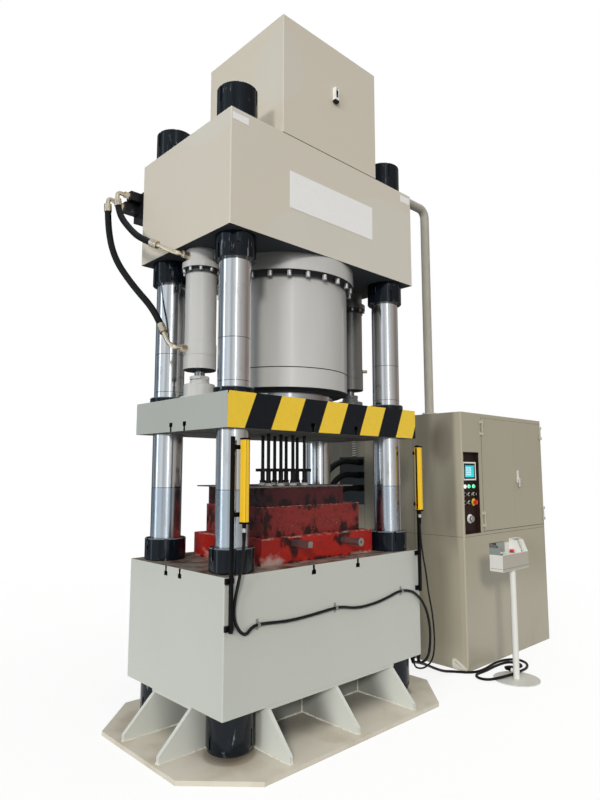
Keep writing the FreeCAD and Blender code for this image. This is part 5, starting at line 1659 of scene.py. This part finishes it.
@dataclass
class CableFittings:
    """Saddles on the bed's front, and glands with strain relief under it and on the desk."""

    saddles: Sequence[Flat] = ((-0.640, 0.722), (-0.020, 0.719), (0.640, 0.735))
    cable_y: float = -0.517
    face_y: float = -0.505
    glands: Sequence[tuple[float, float, float, float]] = (
        (0.846, -0.495, 0.013, 0.0098), (0.800, -0.487, 0.010, 0.0068),
        (0.846, -0.440, 0.013, 0.0108))
    under: float = 0.270

    def build(self) -> None:
        """Makes the saddles, the glands and the tapered boots."""
        saddles = Form()
        for x, z in self.saddles:
            arch = [(self.cable_y - 0.0118 * math.cos(math.radians(a)),
                     z + 0.0118 * math.sin(math.radians(a))) for a in range(-90, 91, 30)]
            saddles.prism([(self.face_y, z - 0.030), (self.face_y - 0.0022, z - 0.030),
                           (self.face_y - 0.0022, z - 0.0118), *arch,
                           (self.face_y - 0.0022, z + 0.0118), (self.face_y - 0.0022, z + 0.030),
                           (self.face_y, z + 0.030)], x - 0.009, x + 0.009, Axis.X, 0.0006, 1)
            for lift in (-0.022, 0.022):
                saddles.turned(screw_head(0.0052, 0.0018, 0.0014, 0.004),
                               (x, self.face_y - 0.0030, z + lift), Axis.Y, 6)
        saddles.place("cable_saddles", CLIP, "bare_steel")
        boots = Form()
        for x, y, outer, inner in self.glands:
            boots.turned([(0.0, 0.0), (outer + 0.003, 0.0), (outer + 0.003, -0.009),
                          (outer, -0.010), (outer, -0.018), (outer - 0.002, -0.021),
                          (inner + 0.0008, -0.048), (0.0, -0.048)], (x, y, self.under), steps=24)
        boots.turned([(0.0, 0.0), (0.0140, 0.0), (0.0140, 0.014), (0.0125, 0.018),
                      (0.0108, 0.044), (0.0, 0.044)], (1.634, -0.776, 0.062), Axis.Y, 24)
        boots.place("cable_boots", BLACK, "black_plastic", replaces=["cable_fittings"])


@dataclass
class Welds:
    """Uneven beads where the ribs stand on the floor plate."""

    foot: float = 0.0265
    rib_half: float = 0.0135
    rows_y: Sequence[float] = (-0.190, 0.190)
    rows_x: Sequence[float] = (-0.540, 0.0, 0.540)
    reach_x: float = 1.045
    reach_y: float = 0.670

    def build(self) -> None:
        """Lays a bead on both sides of every rib and round its ends."""
        runs = []
        for y in self.rows_y:
            for side in (-self.rib_half, self.rib_half):
                runs.append(((-self.reach_x, y + side, self.foot),
                             (self.reach_x, y + side, self.foot)))
            for x in (-self.reach_x - 0.004, self.reach_x + 0.004):
                runs.append(((x, y - 0.012, self.foot), (x, y + 0.012, self.foot)))
        for x in self.rows_x:
            for side in (-self.rib_half, self.rib_half):
                runs.append(((x + side, -self.reach_y, self.foot),
                             (x + side, self.reach_y, self.foot)))
            for y in (-self.reach_y - 0.004, self.reach_y + 0.004):
                runs.append(((x - 0.012, y, self.foot), (x + 0.012, y, self.foot)))
        beads("rib_welds", runs, 0.0062, WELD)
        corners = []
        for x in self.rows_x:
            for y in self.rows_y:
                for i, j in ((-1, -1), (-1, 1), (1, -1), (1, 1)):
                    at = (x + i * self.rib_half, y + j * self.rib_half)
                    corners.append(((*at, self.foot), (*at, 0.150)))
        beads("corner_welds", corners, 0.0050, WELD)


@dataclass
class Gauge:
    """The level gauge on the tank: a white case with a dark window and a black foot."""

    x: float = 0.020
    front: float = -0.523
    back: float = -0.497
    low: float = 4.062
    high: float = 4.166

    def build(self) -> None:
        """Makes the foot, the case, the dark window with its oil, and the screw."""
        form = Form()
        form.index = 1
        form.block((self.x - 0.020, self.front + 0.001, self.low),
                   (self.x + 0.020, self.back, self.low + 0.016), 0.002)
        form.index = 0
        form.block((self.x - 0.020, self.front, self.low + 0.016),
                   (self.x + 0.020, self.back, self.high), 0.003, 3)
        form.index = 1
        form.block((self.x - 0.0090, self.front - 0.0008, self.low + 0.034),
                   (self.x + 0.0090, self.front + 0.004, self.low + 0.084), 0.0008, 1)
        form.index = 2
        form.block((self.x - 0.0035, self.front - 0.0012, self.low + 0.037),
                   (self.x + 0.0035, self.front + 0.004, self.low + 0.060))
        form.index = 1
        form.turned([(0.0, 0.0), (0.0042, 0.0), (0.0042, 0.003), (0.0, 0.003)],
                    (self.x, self.front - 0.0012, self.high - 0.010), Axis.Y, 16)
        form.place("gauge_case", [WHITE, LENS, OIL], "clear_gauge", replaces=["level_gauge"])


@dataclass
class Panel:
    """The operator panel: screen housing, selector marks, the socket port's cap and the rim."""

    face: float = -0.449
    screen_at: Flat = SCREEN_AT
    screen_size: Point = (0.194, 0.0158, 0.150)
    selectors: Sequence[tuple[Body, Flat]] = (
        (Body.MODE_KNOB, (KEY_X[0], KEY_Z[1])), (Body.PUMP_KNOB, (KEY_X[1], KEY_Z[1])),
        (Body.LIGHT_KNOB, (KEY_X[2], KEY_Z[1])), (Body.EJECTOR_KNOB, (KEY_X[0], KEY_Z[2])),
        (Body.KEY_KNOB, (KEY_X[1], KEY_Z[2])))
    port_z: float = 1.169
    port_screws: float = 0.030
    rim_x: Flat = (1.5270, 1.7780)
    rim_z: Flat = (1.0465, 1.7155)
    rim_y: Flat = (-0.4822, -0.4800)
    rim_side: float = 0.0030
    rim_end: float = 0.0035

    def build(self) -> None:
        """Makes the housing, the marks on the selectors, the port's cap and the rim."""
        self.housing()
        for body, (x, z) in self.selectors:
            mark = Form()
            mark.block((x - 0.0020, self.face - 0.0266, z - 0.0080),
                       (x + 0.0020, self.face - 0.0255, z + 0.0088), 0.0004, 1)
            mark.place(f"{body.value}_mark", WHITE, "white_key", body)
        self.port()
        self.rim()

    def housing(self) -> None:
        """Makes the white screen housing with its stepped opening."""
        x, z = self.screen_at
        part = bmesh.new()
        bmesh.ops.create_cube(part, size=1.0)
        bmesh.ops.scale(part, vec=self.screen_size, verts=part.verts)
        bmesh.ops.translate(part, vec=(x, self.face - 0.0081, z), verts=part.verts)
        front = min(part.faces, key=lambda face: face.calc_center_median().y)
        for thick, deep in ((0.0115, 0.0), (0.0012, 0.0046)):
            bmesh.ops.inset_region(part, faces=[front], thickness=thick, depth=-deep,
                                   use_even_offset=True)
        outline = [edge for edge in part.edges if edge.calc_face_angle(0.0) > 1.0
                   and min(v.co.y for v in edge.verts) < self.face - 0.0140]
        bmesh.ops.bevel(part, geom=outline, offset=0.0014, offset_type="OFFSET", segments=2,
                        profile=0.5, affect="EDGES", clamp_overlap=True, material=-1)
        form = Form()
        form.join(part)
        form.place("screen_housing", WHITE, "white_key", replaces=["screen_frame"])

    def port(self) -> None:
        """Makes the socket port's flange screws and its ribbed cap."""
        form = Form()
        x, z = self.screen_at[0], self.port_z
        for i in range(4):
            angle = math.radians(45 + 90 * i)
            form.turned(screw_head(0.0032, 0.0015, 0.0012, 0.002),
                        (x + self.port_screws * math.cos(angle), self.face - 0.0100,
                         z + self.port_screws * math.sin(angle)), Axis.Y, 12)
        form.place("port_screws", BRIGHT, "bare_steel")
        cap = Form()
        cap.turned([(0.0, -0.0335), (0.0235, -0.0335), (0.0255, -0.0315), (0.0255, -0.0140),
                    (0.0245, -0.0120), (0.0, -0.0120)], (x, self.face, z), Axis.Y, 40)
        cap.block((x - 0.030, self.face - 0.030, z - 0.006),
                  (x - 0.022, self.face - 0.014, z + 0.006), 0.0015, 2)
        cap.place("port_cap", BRIGHT, "white_key")

    def rim(self) -> None:
        """Makes the folded light rim round the recess."""
        form = Form()
        (left, right), (low, high), (front, back) = self.rim_x, self.rim_z, self.rim_y
        for x in (left, right - self.rim_side):
            form.block((x, front, low), (x + self.rim_side, back, high), 0.0006, 1)
        for z in (low, high - self.rim_end):
            form.block((left, front, z), (right, back, z + self.rim_end), 0.0006, 1)
        form.place("recess_rim", CABINET, "cabinet_paint")


@dataclass
class Cabinet:
    """Seams, louvres, the lock and the gear behind the doors."""

    left: float = 1.513
    front: float = -0.481
    back: float = 1.100
    top: float = 2.041
    right: float = 2.936
    side_seams: Sequence[float] = (-0.002, 0.555)
    louvre_y: Flat = (0.651, 0.697)
    louvre_z: Flat = (1.695, 1.845)
    louvre_count: int = 7
    base_top: float = 1.030
    lock_x: float = 2.420
    lock_z: Flat = (1.454, 1.563)
    key_z: float = 1.543
    gear_front: float = -0.151

    def build(self) -> None:
        """Makes the trim outside and the gear inside."""
        self.seams()
        self.louvres()
        self.lock()
        self.gear()

    def seams(self) -> None:
        """Makes the dark lines where sheets meet."""
        form, proud = Form(), 0.0005
        half, inset = 0.0011, 0.012
        for z in (self.base_top, self.base_top + 0.027):
            form.block((self.left + inset, self.front - proud, z - half),
                       (self.right - inset, self.front + 0.001, z + half))
        for low, high in ((self.left - proud, self.left + 0.001),
                          (self.right - 0.001, self.right + proud)):
            form.block((low, self.front + inset, self.base_top - half),
                       (high, self.back - inset, self.base_top + half))
        edges = (((1.8205, 1.0590), (1.8255, 2.0070)), ((2.9065, 1.0590), (2.9095, 2.0070)),
                 ((1.8205, 2.0040), (2.9095, 2.0080)), ((1.8205, 1.0585), (2.9095, 1.0620)))
        for (x_low, z_low), (x_high, z_high) in edges:
            form.block((x_low, self.front - 0.0003, z_low), (x_high, self.front + 0.0015, z_high))
        for y in self.side_seams:
            form.block((self.left - proud, y - 0.001, inset),
                       (self.left + 0.001, y + 0.001, self.top - inset))
        form.place("cabinet_seams", SEAM, "cabinet_paint")

    def louvres(self) -> None:
        """Makes the short vent of bent louvres high on the left side, with dark sheets as painted shade in
        their openings.
        """
        form, slots = Form(), Form()
        pitch = (self.louvre_z[1] - self.louvre_z[0]) / self.louvre_count
        for i in range(self.louvre_count):
            z = self.louvre_z[0] + i * pitch
            outline = [(self.left + out, z + pitch * share) for out, share in
                       ((0.001, 0.85), (-0.007, 0.35), (-0.007, 0.25), (0.001, 0.60))]
            form.prism(outline, *self.louvre_y, Axis.Y, 0.0008, 1)
            # painted shade: a dark sheet stands for the shaded opening under each louvre
            slots.block((self.left - 0.0006, self.louvre_y[0] + 0.002, z + pitch * 0.02),
                        (self.left + 0.001, self.louvre_y[1] - 0.002, z + pitch * 0.55))
        form.place("cabinet_louvres", RIM, "cabinet_paint")
        slots.place("louvre_openings_shade", SEAM, "cabinet_paint")

    def lock(self) -> None:
        """Makes the lock's cover plate and its key cylinder."""
        form = Form()
        x, y = self.lock_x, self.front - 0.0132
        form.block((x - 0.016, y - 0.0018, self.lock_z[0]), (x + 0.016, y + 0.003, self.lock_z[1]),
                   0.0012)
        form.place("lock_cover", RIM, "cabinet_paint", Body.DOOR_RIGHT)
        key = Form()
        key.turned([(0.0, -0.004), (0.0070, -0.004), (0.0080, -0.003), (0.0080, 0.003),
                    (0.0, 0.003)], (x, y, self.key_z), Axis.Y, 24)
        key.block((x - 0.0008, y - 0.0045, self.key_z - 0.005),
                  (x + 0.0008, y - 0.003, self.key_z + 0.005))
        key.place("lock_cylinder", HANDLE, "polished_chrome", Body.DOOR_RIGHT)

    def gear(self) -> None:
        """Makes rows of breakers, contactors and terminals on their rails."""
        form, y = Form(), self.gear_front
        for i in range(11):
            x = 2.436 + i * 0.0355
            self.case(form, 0, (x, y - 0.0905, 1.806), (0.034, 0.0205, 0.078), 0.002)
            self.case(form, 1, (x + 0.011, y - 0.1010, 1.836), (0.012, 0.013, 0.020), 0.001)
        for i in range(5):
            x = 2.436 + i * 0.079
            self.case(form, 1, (x, y - 0.1000, 1.646), (0.074, 0.015, 0.098), 0.003)
            self.case(form, 0, (x + 0.018, y - 0.1060, 1.668), (0.038, 0.011, 0.054), 0.002)
        for i in range(44):
            x = 1.900 + i * 0.021
            self.case(form, 2 if i % 11 == 10 else 0, (x, y - 0.0860, 1.362),
                      (0.0185, 0.014, 0.072), 0.001, 1)
            for z in (1.372, 1.414):
                self.case(form, 1, (x + 0.005, y - 0.0868, z), (0.0085, 0.0028, 0.010))
        for i in range(46):
            self.case(form, 3, (1.896 + i * 0.0203, y - 0.0558, 1.154), (0.011, 0.0058, 0.028))
        for i in range(14):
            self.case(form, 3, (1.905, y - 0.1812, 1.625 + i * 0.020), (0.175, 0.0032, 0.009))
        self.case(form, 1, (2.095, y - 0.1830, 1.800), (0.043, 0.005, 0.060), 0.001)
        self.case(form, 1, (2.215, y - 0.1560, 1.700), (0.150, 0.008, 0.180), 0.003)
        form.place("gear_modules", [WHITE, BLACK, STOP_RING, SEAM], "gear_grey")

    def case(self, form: Form, finish: int, low: Point, size: Point, edge: float = 0.0,
             steps: int = 2) -> None:
        """Adds one case of the gear.

        Args:
            form: The mesh that it joins.
            finish: The number of its finish.
            low: Its lowest corner.
            size: Its size along each axis.
            edge: The radius of its edges.
            steps: Faces across each edge.
        """
        form.index = finish
        form.block(low, tuple(start + long for start, long in zip(low, size)), edge, steps)


@dataclass
class Desk:
    """The palm buttons, the stop and the trim of the two-hand desk."""

    palms: Sequence[tuple[Body, str, float]] = (
        (Body.PALM_LEFT, "palm_button_left", 1.482),
        (Body.PALM_RIGHT, "palm_button_right", 1.786))
    stop_x: float = 1.676
    palm_room: float = 0.0232
    stop_room: float = 0.0180
    side_seam_end: float = -0.746
    screw_count: int = 5
    screw_pitch: float = 0.090
    row_y: float = -0.796
    top: float = 0.930
    front: float = -0.850
    xs: Flat = (1.430, 1.838)
    low: float = 0.812

    def build(self) -> None:
        """Makes the buttons and the trim."""
        for body, node, x in self.palms:
            form = Form()
            form.turned([(0.0, -0.020), (0.0118, -0.020), (0.0118, 0.0085), (0.0215, 0.0105),
                         (0.0220, 0.0135), (0.0150, 0.0185), (0.0070, 0.0205), (0.0, 0.0210)],
                        (x, self.row_y, self.top), steps=40)
            form.place(f"{body.value}_cap", WHITE, "white_key", body, [node])
        stop = Form()
        stop.turned([(0.0, -0.020), (0.0118, -0.020), (0.0118, 0.0075), (0.0150, 0.0085),
                     (0.0170, 0.0120), (0.0170, 0.0190), (0.0150, 0.0228), (0.0100, 0.0238),
                     (0.0, 0.0240)], (self.stop_x, self.row_y, self.top), steps=40)
        stop.place("desk_stop_head", RED, "red_key", Body.DESK_STOP, ["desk_stop_button"])
        self.collars()
        self.trim()

    def collars(self) -> None:
        """Makes the rings that the buttons stand in."""
        form = Form()
        rooms = [(x, self.palm_room) for _, _, x in self.palms] + [(self.stop_x, self.stop_room)]
        for x, inner in rooms:
            form.turned([(inner, 0.0), (inner + 0.0030, 0.0), (inner + 0.0030, 0.0022),
                         (inner + 0.0018, 0.0040), (inner, 0.0040), (inner, 0.0)],
                        (x, self.row_y, self.top), steps=40)
        form.place("desk_collars", BLACK, "black_plastic")

    def trim(self) -> None:
        """Makes the seam near the bottom and the cover's screws."""
        form = Form()
        z = self.low + 0.018
        form.block((self.xs[0] + 0.002, self.front - 0.0005, z - 0.0008),
                   (self.xs[1] - 0.002, self.front + 0.001, z + 0.0008))
        form.block((self.xs[0] - 0.0005, self.front + 0.002, z - 0.0008),
                   (self.xs[0] + 0.001, self.side_seam_end, z + 0.0008))
        form.place("desk_seam", SEAM, "desk_paint")
        screws = Form()
        for i in range(self.screw_count):
            screws.turned(screw_head(0.0032, 0.0016, 0.0012, 0.002),
                          (self.xs[0] + 0.024 + i * self.screw_pitch, self.front - 0.0004,
                           self.low + 0.009), Axis.Y, 12)
        screws.place("desk_screws", BRIGHT, "bare_steel")


@dataclass
class Seams:
    """The dark joint line between the tank and the crown."""

    tank_x: float = 0.453
    tank_front: float = -0.497
    tank_back: float = 0.303
    crown_top: float = 3.659

    def build(self) -> None:
        """Makes the line round the tank's foot."""
        form, half, proud = Form(), 0.0028, 0.0006
        x, z = self.tank_x, self.crown_top + 0.0052
        form.block((-x - proud, self.tank_front - proud, z - half),
                   (x + proud, self.tank_front + 0.002, z + half))
        form.block((-x - proud, self.tank_back - 0.002, z - half),
                   (x + proud, self.tank_back + proud, z + half))
        for side in (-x, x):
            form.block((side - proud, self.tank_front, z - half),
                       (side + proud, self.tank_back, z + half))
        form.place("tank_seam", SEAM, "machine_paint")


def dress_nodes() -> None:
    """Gives each CAD node that stays its finish."""
    for name, finish in NODE_FINISH.items():
        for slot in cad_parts[name].material_slots:
            slot.material = finish.material()


def write_sizes() -> None:
    """Updates the view layer."""
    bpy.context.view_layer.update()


def main() -> None:
    """Builds the looks in order."""
    logging.basicConfig(level=logging.INFO, format="%(name)s: %(message)s")
    Studio().build()
    Lines().build()
    for assembly in (Cylinders(), Ferrules(), Curtains(), CableFittings(), Welds(), Gauge(),
                     Seams(), Panel(), Cabinet(), Desk()):
        assembly.build()
    dress_nodes()
    write_sizes()


if __name__ == "__main__":
    main()
